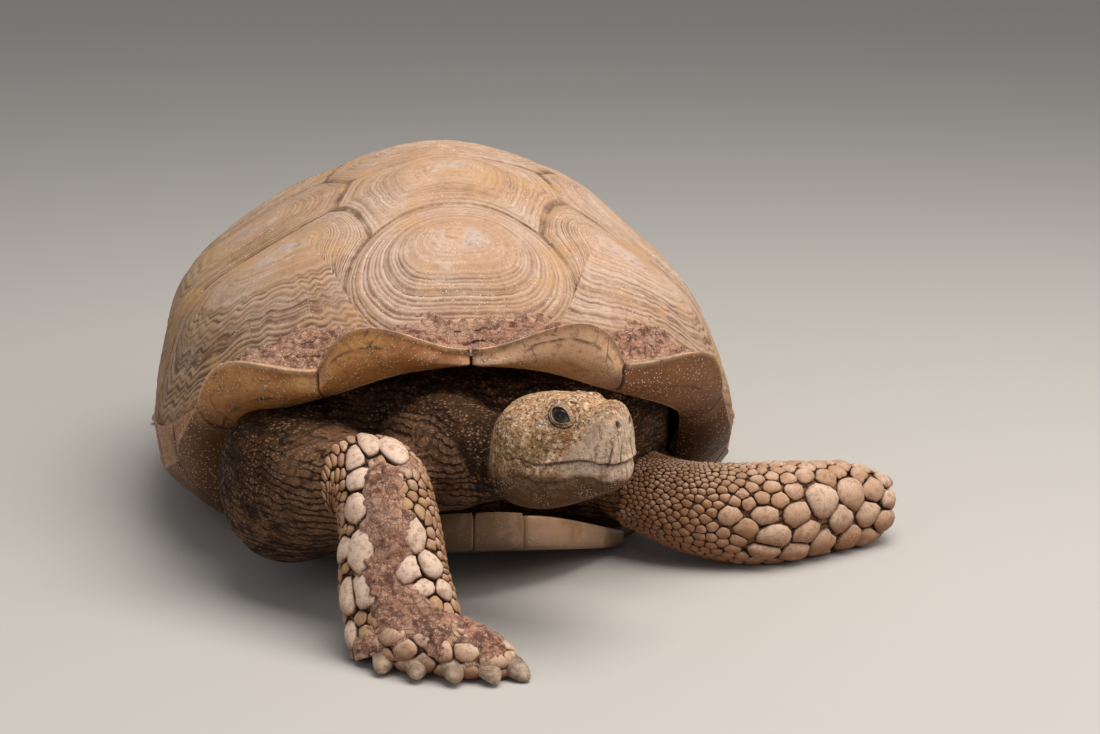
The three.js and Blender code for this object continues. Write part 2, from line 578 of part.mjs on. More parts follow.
// The block below the mouth line, a little lower for the jaw than for the head, so that they stay apart.
function belowMouth(lower) {
  const [ahead, half, depth] = MOUTH_BLOCK;
  const line = new THREE.Shape();
  line.moveTo(MOUTH_CORNER + lower, -depth);
  line.lineTo(ahead, -depth);
  line.lineTo(ahead, -lower);
  line.quadraticCurveTo(74, 3 - lower, 56, -lower);
  line.quadraticCurveTo(44, -2 - lower, MOUTH_CORNER + lower, 4 - lower);
  line.closePath();
  const block = new THREE.ExtrudeGeometry(line, { depth: 2 * half, bevelEnabled: false, curveSegments: 5 });
  return block.rotateX(Math.PI / 2).translate(0, half, 0);
}

function eye(side) {
  const [x, y, z] = EYE_PLACE;
  return headPlaced(new THREE.SphereGeometry(EYE_RADIUS, 12, 6).translate(x, side * y, z));
}

const intersected = (a, b) => geometryFrom(solidOf(a).intersect(solidOf(b)));

// ---------- assembly ----------
const colours = {
  scute: new THREE.MeshStandardMaterial({ color: 0xb59268, roughness: 0.8 }),
  rim: new THREE.MeshStandardMaterial({ color: 0xb27a42, roughness: 0.55 }),
  plastron: new THREE.MeshStandardMaterial({ color: 0x9d7d4e, roughness: 0.65 }),
  skin: new THREE.MeshStandardMaterial({ color: 0x6f5a42, roughness: 0.9 }),
  head: new THREE.MeshStandardMaterial({ color: 0xa58a64, roughness: 0.75 }),
  eye: new THREE.MeshStandardMaterial({ color: 0x1c1712, roughness: 0.1 }),
};
const tortoise = new THREE.Group();
const add = (name, geometry, material) => {
  const mesh = new THREE.Mesh(geometry, material);
  mesh.name = name;
  tortoise.add(mesh);
  return geometry;
};

const sides = [["left", 1], ["right", -1]];
for (let n = 1; n <= 5; n++) add(`vertebral_${n}`, scute(vertebralOutline(n)), colours.scute);
for (const [word, side] of sides) {
  for (let n = 1; n <= 4; n++) add(`costal_${word}_${n}`, scute(costalOutline(n, side)), colours.scute);
}
const rim = [];
for (const [word, side] of sides) {
  for (let n = 1; n <= 11; n++) rim.push(add(`marginal_${word}_${n}`, marginal(n - 1, side), colours.rim));
}
rim.push(add("supracaudal", supracaudal(), colours.rim));

const plastron = [];
for (const [word, side] of sides) {
  for (const [name, shape] of Object.entries(PLASTRON_SCUTES)) {
    const plate = plastronScute(shape, side);
    const meetsRim = name === "pectoral" || name === "abdominal";
    const fitted = meetsRim ? carve(plate, ...rim, ...rim.map((g) => grown(g, SHELL_GAP))) : plate;
    plastron.push(add(`${name}_${word}`, fitted, colours.plastron));
  }
}

const body = add("trunk", carve(trunk(), ...[...rim, ...plastron].map((g) => grown(g))), colours.skin);
const shellCutters = [...rim, ...plastron].flatMap((g) => [g, grown(g, SHELL_GAP)]);

const eyes = sides.map(([word, side]) => add(`eye_${word}`, eye(side), colours.eye));
const skull = headPlaced(wholeHead());
const jaw = add("lower_jaw", intersected(skull, headPlaced(belowMouth(0.4))), colours.head);
const head = add("head", carve(skull, headPlaced(belowMouth(0)), ...eyes.map((g) => grown(g))), colours.head);

const neck = add("neck", carve(tube(NECK, vec(1, -0.3, 0), 8, 12), grown(body), grown(head), grown(jaw),
  ...shellCutters), colours.skin);

const legs = {
  foreleg_right: leg(RIGHT_FORELEG),
  foreleg_left: leg(LEFT_FORELEG),
  hindleg_left: leg(HIND_LEG),
  hindleg_right: leg(mirrored(HIND_LEG)),
};
for (const [name, geometry] of Object.entries(legs)) {
  add(name, carve(geometry, grown(body), neck, grown(neck, SHELL_GAP), ...shellCutters), colours.skin);
}
add("tail", carve(tube(TAIL, vec(1, 0, 0), 6, 8), grown(body), ...shellCutters), colours.skin);

export default tortoise;
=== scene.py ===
import bpy
import numpy as np
from mathutils import Euler, Matrix, Vector


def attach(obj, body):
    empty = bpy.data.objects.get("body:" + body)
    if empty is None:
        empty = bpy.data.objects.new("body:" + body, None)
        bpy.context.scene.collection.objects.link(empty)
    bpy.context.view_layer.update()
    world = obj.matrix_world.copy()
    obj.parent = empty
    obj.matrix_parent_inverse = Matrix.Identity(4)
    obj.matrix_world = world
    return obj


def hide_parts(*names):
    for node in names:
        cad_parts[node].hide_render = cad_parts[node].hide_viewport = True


# An adult sulcata tortoise at rest. Lengths in the tables are millimetres, the meshes are metres.
# The animal faces -Y, its left is +X, and the floor is at Z = 0.
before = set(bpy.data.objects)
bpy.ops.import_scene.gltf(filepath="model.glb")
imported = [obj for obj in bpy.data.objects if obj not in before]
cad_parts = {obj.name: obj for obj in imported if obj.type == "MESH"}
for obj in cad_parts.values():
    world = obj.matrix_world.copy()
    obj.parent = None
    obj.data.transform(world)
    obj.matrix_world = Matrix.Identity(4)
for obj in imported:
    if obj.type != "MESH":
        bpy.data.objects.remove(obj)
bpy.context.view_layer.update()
mm = 0.001


def along(table, at):
    # a smooth cubic through rows of [position, value, ...], for an array of positions
    table = np.asarray(table, float)
    knots, values = table[:, 0], table[:, 1:]
    at = np.clip(np.asarray(at, float), knots[0], knots[-1])
    i = np.clip(np.searchsorted(knots, at) - 1, 0, len(knots) - 2)
    slopes = np.empty_like(values)
    slopes[1:-1] = (values[2:] - values[:-2]) / (knots[2:] - knots[:-2])[:, None]
    slopes[[0, -1]] = (values[[1, -1]] - values[[0, -2]]) / (knots[[1, -1]] - knots[[0, -2]])[:, None]
    width = (knots[i + 1] - knots[i])[..., None]
    u = (at - knots[i])[..., None] / width
    result = ((2 * u ** 3 - 3 * u ** 2 + 1) * values[i] + (u ** 3 - 2 * u ** 2 + u) * width * slopes[i]
              + (3 * u ** 2 - 2 * u ** 3) * values[i + 1] + (u ** 3 - u ** 2) * width * slopes[i + 1])
    return result[..., 0] if values.shape[1] == 1 else result


def power(value, exponent):
    # the sign times the size to an exponent
    return np.sign(value) * np.abs(value) ** exponent


def smooth(low, high, value):
    # 0 below low, 1 above high, an S between
    t = np.clip((value - low) / (high - low), 0, 1)
    return t * t * (3 - 2 * t)


def bell(value, width):
    # e to minus the square of value over width: 1 at 0, nearly 0 beyond two widths
    return np.exp(-(value / width) ** 2)


def mixed(a, b, share):
    # a at share 0, b at share 1
    return a + (b - a) * share


def span(vectors):
    # length of each vector: the root of the sum of its squares
    return np.linalg.norm(vectors, axis=-1)


def unit(vectors):
    # each vector over its own length
    return vectors / np.maximum(span(vectors), 1e-12)[..., None]


def runAlong(line):
    # distance along a line of points, from its first
    return np.r_[0, np.cumsum(span(np.diff(line, axis=0)))]


def turns(count):
    # angles evenly spaced round a full turn
    return np.linspace(0, 2 * np.pi, count, endpoint=False)


def noise(points, size, seed=0):
    # random values on a lattice of the given size, blended smoothly between its corners: -1 to 1
    place = points / size
    cell = np.floor(place).astype(np.int64)
    part = place - cell
    part = part * part * (3 - 2 * part)
    total = np.zeros(points.shape[:-1])
    for corner in np.ndindex(2, 2, 2):
        key = cell + np.array(corner)
        code = key[..., 0] * 73856093 ^ key[..., 1] * 19349663 ^ key[..., 2] * 83492791 ^ (seed * 40503 + 977)
        code = ((code & 0xffffffff) ^ ((code & 0xffffffff) >> 15)) * 2246822519 & 0xffffffff
        code = (code ^ (code >> 13)) * 3266489917 & 0xffffffff
        weight = np.prod(np.where(np.array(corner) == 1, part, 1 - part), axis=-1)
        total += weight * ((code >> 8) / 2.0 ** 23 - 1)
    return total


def roughness(points, size, seed=0, octaves=3):
    # noise with finer noise on it, each octave half the size and half the height
    total = sum(noise(points, size / 2 ** k, seed + k) / 2 ** k for k in range(octaves))
    return total / (2 - 0.5 ** (octaves - 1))


def resampled(line, count):
    # points evenly spaced round a closed line
    closed = np.vstack([line, line[:1]])
    run = runAlong(closed)
    at = np.linspace(0, run[-1], count, endpoint=False)
    return np.stack([np.interp(at, run, closed[:, k]) for k in range(line.shape[1])], axis=1)


def gridFaces(rows, columns, wrapColumns=False):
    # quads between neighbouring points of a grid numbered row by row
    i, j = np.arange(rows - 1)[:, None], np.arange(columns if wrapColumns else columns - 1)[None, :]
    a, b = i * columns + j, i * columns + (j + 1) % columns
    return np.stack([a, b, b + columns, a + columns], axis=-1).reshape(-1, 4)


def fanFaces(ring, pole):
    # triangles from a ring of points to one point
    return np.stack([ring, np.roll(ring, -1), np.full(len(ring), pole)], axis=1)


def tubeFaces(rows, columns, first=0):
    # faces of a tube of rings with a fan to a pole at each end; the poles' points follow the rings
    ring, pole = np.arange(columns), first + rows * columns
    return [gridFaces(rows, columns, wrapColumns=True) + first, fanFaces(ring[::-1] + first, pole),
            fanFaces(ring + (rows - 1) * columns + first, pole + 1)]


def withPoles(grid):
    # the points of a grid of rings, and after them the middles of its first and last ring
    return np.vstack([grid.reshape(-1, 3), grid[0].mean(0), grid[-1].mean(0)])


def placed(name, data):
    # an object of some data, in the scene
    made = bpy.data.objects.new(name, data)
    bpy.context.collection.objects.link(made)
    return made


def makePiece(name, points, faces, material, values=None, nodes=(), bakeMap=None):
    # one mesh object from arrays, turned outward if its volume comes out negative
    points = points.reshape(-1, 3)
    triangles = np.concatenate([np.stack([f[:, 0], f[:, k], f[:, k + 1]], 1) for f in faces
                                for k in range(1, f.shape[1] - 1)])
    a, b, c = (points[triangles[:, k]] for k in range(3))
    if np.einsum("ij,ij->", a, np.cross(b, c)) < 0:
        faces = [f[:, ::-1] for f in faces]
    sizes = np.concatenate([np.full(len(f), f.shape[1]) for f in faces])
    corners = np.concatenate([f.ravel() for f in faces]).astype(np.int32)
    mesh = bpy.data.meshes.new(name)
    mesh.vertices.add(len(points))
    mesh.vertices.foreach_set("co", points.astype(np.float32).ravel())
    mesh.loops.add(len(corners))
    mesh.loops.foreach_set("vertex_index", corners)
    mesh.polygons.add(len(sizes))
    mesh.polygons.foreach_set("loop_start", np.r_[0, np.cumsum(sizes)[:-1]].astype(np.int32))
    mesh.update(calc_edges=True)
    for label, value in (values or {}).items():
        layer = mesh.attributes.new(label, "FLOAT", "POINT")
        layer.data.foreach_set("value", np.asarray(value, np.float32).ravel())
    if bakeMap is not None:
        mesh.uv_layers.new(name="OFBake").data.foreach_set("uv", bakeMap[corners].astype(np.float32).ravel())
    mesh.shade_smooth()
    mesh.materials.append(material)
    piece = placed(name, mesh)
    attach(piece, "root")
    if nodes:
        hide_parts(*nodes)
    return piece


def normalsOf(grid, wrapColumns=True):
    # unit normals of a grid surface from its row and column directions
    down = np.gradient(grid, axis=0)
    if wrapColumns:
        side = (np.roll(grid, -1, axis=1) - np.roll(grid, 1, axis=1)) / 2
    else:
        side = np.gradient(grid, axis=1)
    return unit(np.cross(down, side))


class Wire:
    # a node's output; arithmetic on it adds Math nodes
    def __init__(self, tree, socket):
        self.tree, self.socket = tree, socket

    def maths(self, operation, *values):
        return node(self.tree, "ShaderNodeMath", {"operation": operation}, values)

    def __add__(self, other):
        return self.maths("ADD", self, other)

    def __sub__(self, other):
        return self.maths("SUBTRACT", self, other)

    def __rsub__(self, other):
        return self.maths("SUBTRACT", other, self)

    def __mul__(self, other):
        return self.maths("MULTIPLY", self, other)

    def __pow__(self, other):
        return self.maths("POWER", self, other)

    def least(self, other):
        return self.maths("MINIMUM", self, other)

    def between(self, low, high):
        # 0 at low, 1 at high, smoothly
        return node(self.tree, "ShaderNodeMapRange", {"interpolation_type": "SMOOTHSTEP"},
                    {0: self, 1: low, 2: high, 3: 0.0, 4: 1.0})

    __radd__ = __add__
    __rmul__ = __mul__


def node(tree, kind, settings=None, values=(), output=0):
    # a node of any kind: its settings, its inputs by place or name, wired or plain, and one output
    made = tree.nodes.new(kind)
    for key, value in (settings or {}).items():
        setattr(made, key, value)
    for key, value in (values.items() if isinstance(values, dict) else enumerate(values)):
        if isinstance(value, Wire):
            tree.links.new(made.inputs[key], value.socket)
        else:
            made.inputs[key].default_value = (*value, 1) if made.inputs[key].type == "RGBA" else value
    return Wire(tree, made.outputs[output]) if made.outputs else None


class Finish:
    # a material being built: its tree, its patterns on object coordinates, and its surface
    def __init__(self, name):
        self.material = bpy.data.materials.new(name)
        self.material.use_nodes = True
        self.tree = self.material.node_tree
        self.tree.nodes.clear()
        self.place = node(self.tree, "ShaderNodeTexCoord", output=3)

    def values(self, *labels):
        # values stored on the mesh's points
        return [node(self.tree, "ShaderNodeAttribute", {"attribute_name": label}, output=2) for label in labels]

    def grain(self, size, detail=4.0, rough=0.55, stretch=(1, 1, 1)):
        # noise of about the given size in metres, 0 to 1
        place = node(self.tree, "ShaderNodeMapping", {}, {0: self.place, 3: stretch})
        return node(self.tree, "ShaderNodeTexNoise", {}, {"Vector": place, "Scale": 1 / size,
                                                          "Detail": detail, "Roughness": rough})

    def patches(self, size, low, high, detail=4.0, rough=0.55, stretch=(1, 1, 1)):
        # the noise cut into patches: 0 below low, 1 above high
        return self.grain(size, detail, rough, stretch).between(low, high)

    def cells(self, size, feature="F1", jitter=1.0, stretch=(1, 1, 1)):
        # distance to the nearest random point, or to the border between two
        place = node(self.tree, "ShaderNodeMapping", {}, {0: self.place, 3: stretch})
        return node(self.tree, "ShaderNodeTexVoronoi", {"feature": feature},
                    {"Vector": place, "Scale": 1 / size, "Randomness": jitter})

    def specks(self, size, low, high, **options):
        # round specks: 1 within low of a random point, 0 beyond high
        return 1 - self.cells(size, **options).between(low, high)

    def shade(self, factor, first, second):
        # colour mixed from first to second
        return node(self.tree, "ShaderNodeMix", {"data_type": "RGBA"}, {0: factor, 6: first, 7: second}, output=2)

    def layered(self, colour, look, *rows):
        # colours of look laid over a colour in turn, each by the mask before its key
        for mask, key in rows:
            colour = self.shade(mask, colour, look[key])
        return colour

    def facing(self, low, high):
        # how far up the surface looks, -1 down to 1 up, cut to 0 at low and 1 at high
        normal = node(self.tree, "ShaderNodeNewGeometry", output=1)
        return node(self.tree, "ShaderNodeSeparateXYZ", {}, [normal], output=2).between(low, high)

    def along(self, axis):
        # the object coordinate along X, Y or Z
        return node(self.tree, "ShaderNodeSeparateXYZ", {}, [self.place], output="XYZ".index(axis))

    def finish(self, colour, rough, bump=None, depth=0.001, **constants):
        # the surface from colour, roughness and a bump of the given depth in metres
        values = {"Base Color": colour, "Roughness": rough}
        if bump is not None:
            values["Normal"] = node(self.tree, "ShaderNodeBump", {}, {"Strength": 1.0, "Distance": depth,
                                                                      "Height": bump})
        values.update({key.replace("_", " "): value for key, value in constants.items()})
        surface = node(self.tree, "ShaderNodeBsdfPrincipled", {}, values)
        node(self.tree, "ShaderNodeOutputMaterial", {}, [surface])
        return self.material


# the carapace: its dome, and a flat chart of it
shell = {
    "halfWidth": 279, "frontLength": 345, "rearLength": 352,  # of the dome, in plan
    "meanRadius": 300,
    "domeBase": 75, "domeRise": 260,
    "flank": 82, "flankWidth": 48,  # degrees round from the front, of the middle of each flank's own shape
    "frontPower": 0.8, "rearPower": 0.88,  # 1 gives an oval plan, less gives squarer shoulders
    "seamGap": 0.15,  # each scute stands this far back from its seam
    "scuteDepth": 9,  # how deep a scute's wall goes
    "chartLength": 450,  # length on the dome of one unit of its chart
}
# how far each flank is flatter than the plain dome, from the top to the marginals
leftFlank = [[0, 0], [0.3, 5], [0.5, 15], [0.7, 6.5], [0.85, 5], [1, 0]]
rightFlank = [[0, 0], [0.3, 12.5], [0.5, 10.5], [0.7, -6.5], [0.85, -0.5], [1, 0]]
# lowest level of the costal scutes as an angle up the dome, by degrees round from the front
domeEdge = [[0, 33], [22, 31], [45, 24], [60, 12.5], [75, 5.5], [90, 3.5], [120, 6], [150, 13], [180, 15]]


def folded(angle):
    # degrees round from the front, 0 to 180 on either side
    return np.degrees(np.arccos(np.clip(np.cos(angle), -1, 1)))


def planAt(angle):
    # a superellipse with its own front and rear lengths and powers
    front = np.cos(angle) > 0
    exponent = np.where(front, shell["frontPower"], shell["rearPower"])
    length = np.where(front, shell["frontLength"], shell["rearLength"])
    across, ahead = power(np.sin(angle), exponent), power(np.cos(angle), exponent)
    return np.stack([shell["halfWidth"] * across, -length * ahead], -1)


def domeAt(angle, reach, depth):
    # plan times the cosine of the height's angle, rise times its sine; reach runs from 0 at the top to 1
    # at the marginals; each flank is lowered by its table times a bell round the middle of its side
    turned = np.degrees(np.arctan2(np.sin(angle), np.cos(angle)))
    for middle, table in ((shell["flank"], leftFlank), (-shell["flank"], rightFlank)):
        depth = depth + along(table, reach) * bell(turned - middle, shell["flankWidth"])
    lowest = np.radians(along(domeEdge, folded(angle)))
    tilt = np.pi / 2 - reach * (np.pi / 2 - lowest)
    flat = planAt(angle) * (np.cos(tilt) * (1 - depth / shell["meanRadius"]))[..., None]
    level = shell["domeBase"] + (shell["domeRise"] - depth) * np.sin(tilt)
    return np.concatenate([flat, level[..., None]], -1) * mm


def chartAt(angle, reach=1.0):
    # the chart is polar: reach out from the top, angle round from the front
    return np.stack([reach * np.sin(angle), -reach * np.cos(angle)], -1)


def chartOf(x, y):
    # the chart's place over a plan position, the reverse of domeAt
    length, exponent = ((shell["frontLength"], shell["frontPower"]) if y < 0
                        else (shell["rearLength"], shell["rearPower"]))
    a, b = (abs(x) / shell["halfWidth"]) ** (1 / exponent), (abs(y) / length) ** (1 / exponent)
    turn = np.arctan2(a, b)
    angle = (turn if y < 0 else np.pi - turn) * (-1 if x < 0 else 1)
    tilt = np.arccos(min(1, np.hypot(a, b) ** exponent))
    lowest = np.radians(along(domeEdge, folded(angle)))
    return chartAt(angle, (np.pi / 2 - tilt) / (np.pi / 2 - lowest))


def fromChart(place, depth):
    # the point of the dome under a chart place
    return domeAt(np.arctan2(place[..., 0], -place[..., 1]), np.hypot(place[..., 0], place[..., 1]), depth)


marginalWidths = [136, 140, 82, 86, 86, 86, 84, 84, 86, 86, 72, 44]  # 1 to 11 and half the supracaudal


def sutureAngles():
    # angles at which the marginal scutes meet, spaced by their widths along the rim
    angles = np.linspace(0, np.pi, 721)
    run = runAlong(planAt(angles))
    goals = np.r_[0, np.cumsum(marginalWidths)] / sum(marginalWidths) * run[-1]
    return np.interp(goals, run, angles)


sutures = sutureAngles()

# where vertebral and costal scutes meet, in plan, on the animal's left
meets = {"a": (78, -185), "b": (112, -100), "c": (94, -24), "d": (116, 32), "e": (92, 94), "f": (105, 150),
         "g": (72, 206)}
vertebralOneAngle = sutures[1] * 0.6
costalEnds = [vertebralOneAngle, sutures[4], sutures[6], sutures[8], sutures[10]]
bows = {"vertebralOne": 0.24, "firstSeam": 0.22, "costal": 0.04}


def meet(key, side):
    # a meeting place in the chart, mirrored by side
    return chartOf(side * meets[key][0], meets[key][1])


def seamLine(start, end, bow=0.0, count=60):
    # a parabola between two chart places, bowed sideways by a share of its length
    t = np.linspace(0, 1, count, endpoint=False)[:, None]
    run = end - start
    return start + run * t + np.array([run[1], -run[0]]) * (4 * bow * t * (1 - t))


def rimLine(start, end, count=140):
    # an arc of the dome's edge between two angles
    return chartAt(np.linspace(start, end, count, endpoint=False))


def vertebralOutline(number):
    # seams between the meeting places; the first and the last scute also border on the rim
    if number == 1:
        end = vertebralOneAngle
        return np.vstack([rimLine(-end, end), seamLine(chartAt(end), meet("a", 1), bows["vertebralOne"]),
                          seamLine(meet("a", 1), meet("a", -1), bows["firstSeam"]),
                          seamLine(meet("a", -1), chartAt(-end), bows["vertebralOne"])])
    if number == 5:
        end = costalEnds[4]
        return np.vstack([seamLine(meet("g", -1), meet("g", 1)), seamLine(meet("g", 1), chartAt(end)),
                          rimLine(end, 2 * np.pi - end), seamLine(chartAt(-end), meet("g", -1))])
    front, side, rear = ["abc", "cde", "efg"][number - 2]
    corners = [(front, -1), (front, 1), (side, 1), (rear, 1), (rear, -1), (side, -1)]
    places = [meet(key, turn) for key, turn in corners]
    lines = [seamLine(places[i], places[(i + 1) % 6], -bows["firstSeam"] if number == 2 and i == 0 else 0.0)
             for i in range(6)]
    return np.vstack(lines)


def costalOutline(number, side):
    # an arc of the rim, the seams to the costals before and after, and those to the vertebrals
    start, end = costalEnds[number - 1], costalEnds[number]
    corners = ["ba", "dcb", "fed", "gf"][number - 1]
    inner = [seamLine(meet(a, 1), meet(b, 1)) for a, b in zip(corners, corners[1:])]
    frontBow = bows["vertebralOne"] if number == 1 else bows["costal"]
    rearBow = 0.0 if number == 4 else bows["costal"]
    outline = np.vstack([rimLine(start, end), seamLine(chartAt(end), meet(corners[0], 1), rearBow), *inner,
                         seamLine(meet(corners[-1], 1), chartAt(start), -frontBow)])
    return outline if side > 0 else outline * [-1, 1]


# the scutes' growth rings and relief
growth = {
    "rings": 25,  # strong grooves between the areola and the edge
    "grooveDepth": 1.25, "fineDepth": 0.25,
    "areola": 0.17,  # share of the way to the edge that is the first year's plate
    "crown": 6.0,  # how far the middle stands above the dome
    "edgeDrop": 0.9,  # how far the edge dips into the seam
    "waver": 0.013,  # how far a ring strays, as a share of the way out
    "rounding": 0.035,  # how far the corners of the inner rings are softened, as a share of a ring
    "wave": 62,  # length of the ripples that cross the rings, measured at the seam
    "ripple": 0.016,  # their height, as a share of the way out
    "roundTo": 0.55,  # share of the way out beyond which the rings follow the outline's corners
    "wornFrom": 235, "wornTo": 330,  # heights between which the grooves grow shallower
    "band": 0.35, "unevenness": 0.5, "areolaDip": 0.3,
    "wallAt": 3.0, "floorShares": (0.97, 0.7, 0.35),
}


def ringGrooves(r, spread, seed, rings, areola):
    # narrow dips at irregular distances from the middle; spread shifts them along the ring
    pick = np.random.default_rng(seed)
    steps = pick.uniform(0.45, 1.5, rings)
    places = areola + (1 - areola) * (np.cumsum(steps) - steps[0] * 0.5) / steps.sum()
    groove = np.zeros_like(r)
    for place, step in zip(places, steps):
        width = (1 - areola) / rings * pick.uniform(0.20, 0.44)
        groove = np.maximum(groove, pick.uniform(0.45, 1.0) * min(1, step + 0.2) * bell(r + spread - place, width))
    return groove


def softened(loop, width):
    # a closed line's points averaged with their neighbours by a bell of the given width in points
    turns = np.fft.fftfreq(len(loop))[:, None]
    return np.fft.ifft(np.fft.fft(loop, axis=0) * np.exp(-2 * (np.pi * turns * width) ** 2), axis=0).real


def growthPlate(name, outline, heart, seed, rows, columns, node, ripple):
    # rays from the heart to the outline, rounder near the heart; relief falls from crown to seam
    outline = resampled(outline, columns)
    heart = np.asarray(heart, float)
    gap = shell["seamGap"] / shell["chartLength"]
    spokes = outline - heart
    spokes = spokes - gap * unit(spokes)
    rim = heart + spokes
    r = (np.arange(1, rows + 1) / rows)[:, None]
    sharp = smooth(growth["roundTo"], 1.0, r)[..., None] ** 2
    place = heart + mixed(softened(spokes, growth["rounding"] * columns), spokes, sharp) * r[..., None]
    field = np.concatenate([place, np.full(place.shape[:-1] + (1,), seed * 1.7)], -1)
    height = fromChart(place, np.zeros(place.shape[:-1]))[..., 2] / mm
    # ripples cross the rings as radial waves, strongest on one side of the scute
    turn = np.arctan2(*spokes.T)[None, :]
    length = runAlong(outline)[-1] * shell["chartLength"]
    waves = round(length / growth["wave"])
    phase = 2 * np.pi * np.arange(columns)[None, :] / columns
    swing = 1.6 * np.sin(phase * 3 + seed) + 1.1 * np.sin(phase * 7 + r * 5)
    swing = swing + 2.2 * roughness(field, 0.11, seed + 7, 2)
    creases = np.sin(phase * waves + swing) * smooth(0.2, 0.6, r)
    towards = smooth(-0.2, 0.7, np.cos(turn - ripplePlace.get(name, 0))) if name in ripplePlace else 1.0
    spread = growth["waver"] * roughness(field, 0.045, seed, 3) + growth["ripple"] * ripple * creases * towards
    strength = (0.32 + 0.68 * smooth(0.2, 0.6, r)) * (0.72 + 0.28 * noise(field, 0.15, seed + 4))
    strength = strength * (1 - 0.45 * smooth(growth["wornFrom"], growth["wornTo"], height))
    strength = strength * (1 + 0.35 * towards * (ripple > 0.5) * smooth(0.4, 0.8, r))
    coarse = ringGrooves(r, spread, seed, growth["rings"], growth["areola"]) * strength
    fine = ringGrooves(r, spread * 1.3, seed + 50, growth["rings"] * 2, growth["areola"])
    band = noise(np.stack([(r + spread) * growth["rings"] * 1.1, 0 * spread, 0 * spread + seed], -1), 1.0, seed)
    edge = smooth(0.93, 1.0, r) ** 2
    inside = 1 - smooth(growth["areola"] * 0.5, growth["areola"] * 1.6, r + spread * 3)
    relief = (growth["crown"] * (1 - r ** 1.35) - growth["grooveDepth"] * coarse * (1 - 0.6 * inside)
              - growth["fineDepth"] * fine - growth["edgeDrop"] * edge + growth["band"] * band
              + growth["unevenness"] * roughness(field, 0.06, seed + 9, 3)
              - growth["areolaDip"] * inside * (0.6 + 0.8 * noise(field, 0.02, seed)))
    top = fromChart(place, -relief)
    below = shell["scuteDepth"] + 1.0
    wall = [fromChart(rim, np.full(columns, depth)) for depth in (growth["wallAt"], shell["scuteDepth"])]
    floor = [fromChart(heart + spokes * share, np.full(columns, below)) for share in growth["floorShares"]]
    grid = np.concatenate([top, np.stack(wall + floor)])
    poles = np.stack([fromChart(heart, np.array(depth)) for depth in (-relief[0].mean(), below)])
    extra = len(wall) + len(floor)

    def spanned(value, under, pole):
        # a value for each of the top's points, one for those beneath and one for each pole
        shown = np.broadcast_to(value, (rows, columns))
        return np.r_[shown.ravel(), np.full(extra * columns, under), pole, under]

    values = {"ring": spanned(r, 1.0, 0.0), "groove": spanned(coarse, 1.0, 0.0), "fine": spanned(fine, 0.5, 0.0),
              "areola": spanned(inside, 0.0, 1.0), "band": spanned(0.5 + 0.5 * band, 0.5, 0.5)}
    return makePiece(name, np.vstack([grid.reshape(-1, 3), poles]), tubeFaces(len(grid), columns), scuteFinish,
                     values, [node])


scuteLook = {
    "pale": (0.60, 0.435, 0.345), "tan": (0.43, 0.265, 0.16), "orange": (0.54, 0.335, 0.215),
    "ochre": (0.42, 0.26, 0.105), "areola": (0.46, 0.375, 0.335), "groove": (0.135, 0.07, 0.038),
    "low": (0.34, 0.195, 0.10), "sand": (0.78, 0.66, 0.55), "dirt": (0.17, 0.10, 0.065),
    "bleachedAndLit": (0.72, 0.57, 0.48), "mud": (0.36, 0.20, 0.13), "amber": (0.50, 0.29, 0.13),
}


def scuteMaterial():
    # patches of tan and orange, darker by side and height (on the right flank partly stain, partly painted shade),
    # then dirt in the grooves, mud and specks
    f = Finish("carapaceScute")
    ring, groove, fine, areola, band = f.values("ring", "groove", "fine", "areola", "band")
    ground = f.shade(f.patches(0.09, 0.38, 0.62, 3), scuteLook["pale"], scuteLook["orange"])
    flank = (1 - f.along("X").between(-0.25, -0.06)) * f.patches(0.05, 0.25, 0.6)
    low = 1 - f.along("Z").between(0.10, 0.24)
    worn, broken = f.patches(0.03, 0.30, 0.62, 3), f.patches(0.011, 0.36, 0.60, 5, 0.65)
    jagged = ring + f.grain(0.012, 4, 0.65) * 0.10
    front = (1 - f.along("Y").between(-0.27, -0.19)) * (1 - f.along("Z").between(0.225, 0.262))
    specks = f.specks(0.0032, 0.10, 0.24)
    colour = f.layered(
        ground, scuteLook,
        (band.between(0.5, 0.9) * 0.55, "tan"),
        (f.patches(0.028, 0.48, 0.72, 5, 0.6) * 0.5, "tan"),
        # the right flank is painted ochre, partly stain and partly painted shade on the side turned from the light;
        # the lowest part of every side is darker
        (flank * 0.75, "ochre"),
        (low * 0.55, "low"),
        (areola * f.patches(0.02, 0.4, 0.65, 3) * 0.8, "areola"),
        (areola * f.patches(0.009, 0.52, 0.7) * 0.5, "dirt"),
        (f.patches(0.0042, 0.47, 0.66, 5, 0.72) * 0.5, "low"),
        (f.patches(0.012, 0.55, 0.72, 4, 0.65) * 0.45, "bleachedAndLit"),
        (fine * 0.4, "tan"),
        # each ring's groove holds dirt, less where the shell is worn
        ((groove * (0.45 + 0.5 * worn + 0.9 * broken)).least(1.0) * 0.92, "groove"),
        (ring.between(0.80, 1.0) * f.patches(0.035, 0.40, 0.62) * 0.5, "low"),
        (jagged.between(0.985, 1.045) * f.patches(0.03, 0.3, 0.6, 3) * 0.85, "groove"),
        (f.patches(0.05, 0.52, 0.66, 5, 0.6) * 0.6, "amber"),
        # mud dusts the scutes just above the front of the rim
        (front * f.patches(0.022, 0.44, 0.60, 5, 0.65) * 0.5, "mud"),
        (specks * f.patches(0.04, 0.42, 0.60, 3) * 0.8, "sand"),
        (f.specks(0.0075, 0.07, 0.13) * f.patches(0.05, 0.5, 0.6, 3) * 0.8, "dirt"))
    bump = f.grain(0.004, 5, 0.65) * 0.6 + specks * 0.3
    rough = 0.66 + 0.2 * f.grain(0.03, 3) - 0.1 * areola
    return f.finish(colour, rough, bump, 0.0006, Specular_IOR_Level=0.3)


scuteFinish = scuteMaterial()
print("materials of the scutes")

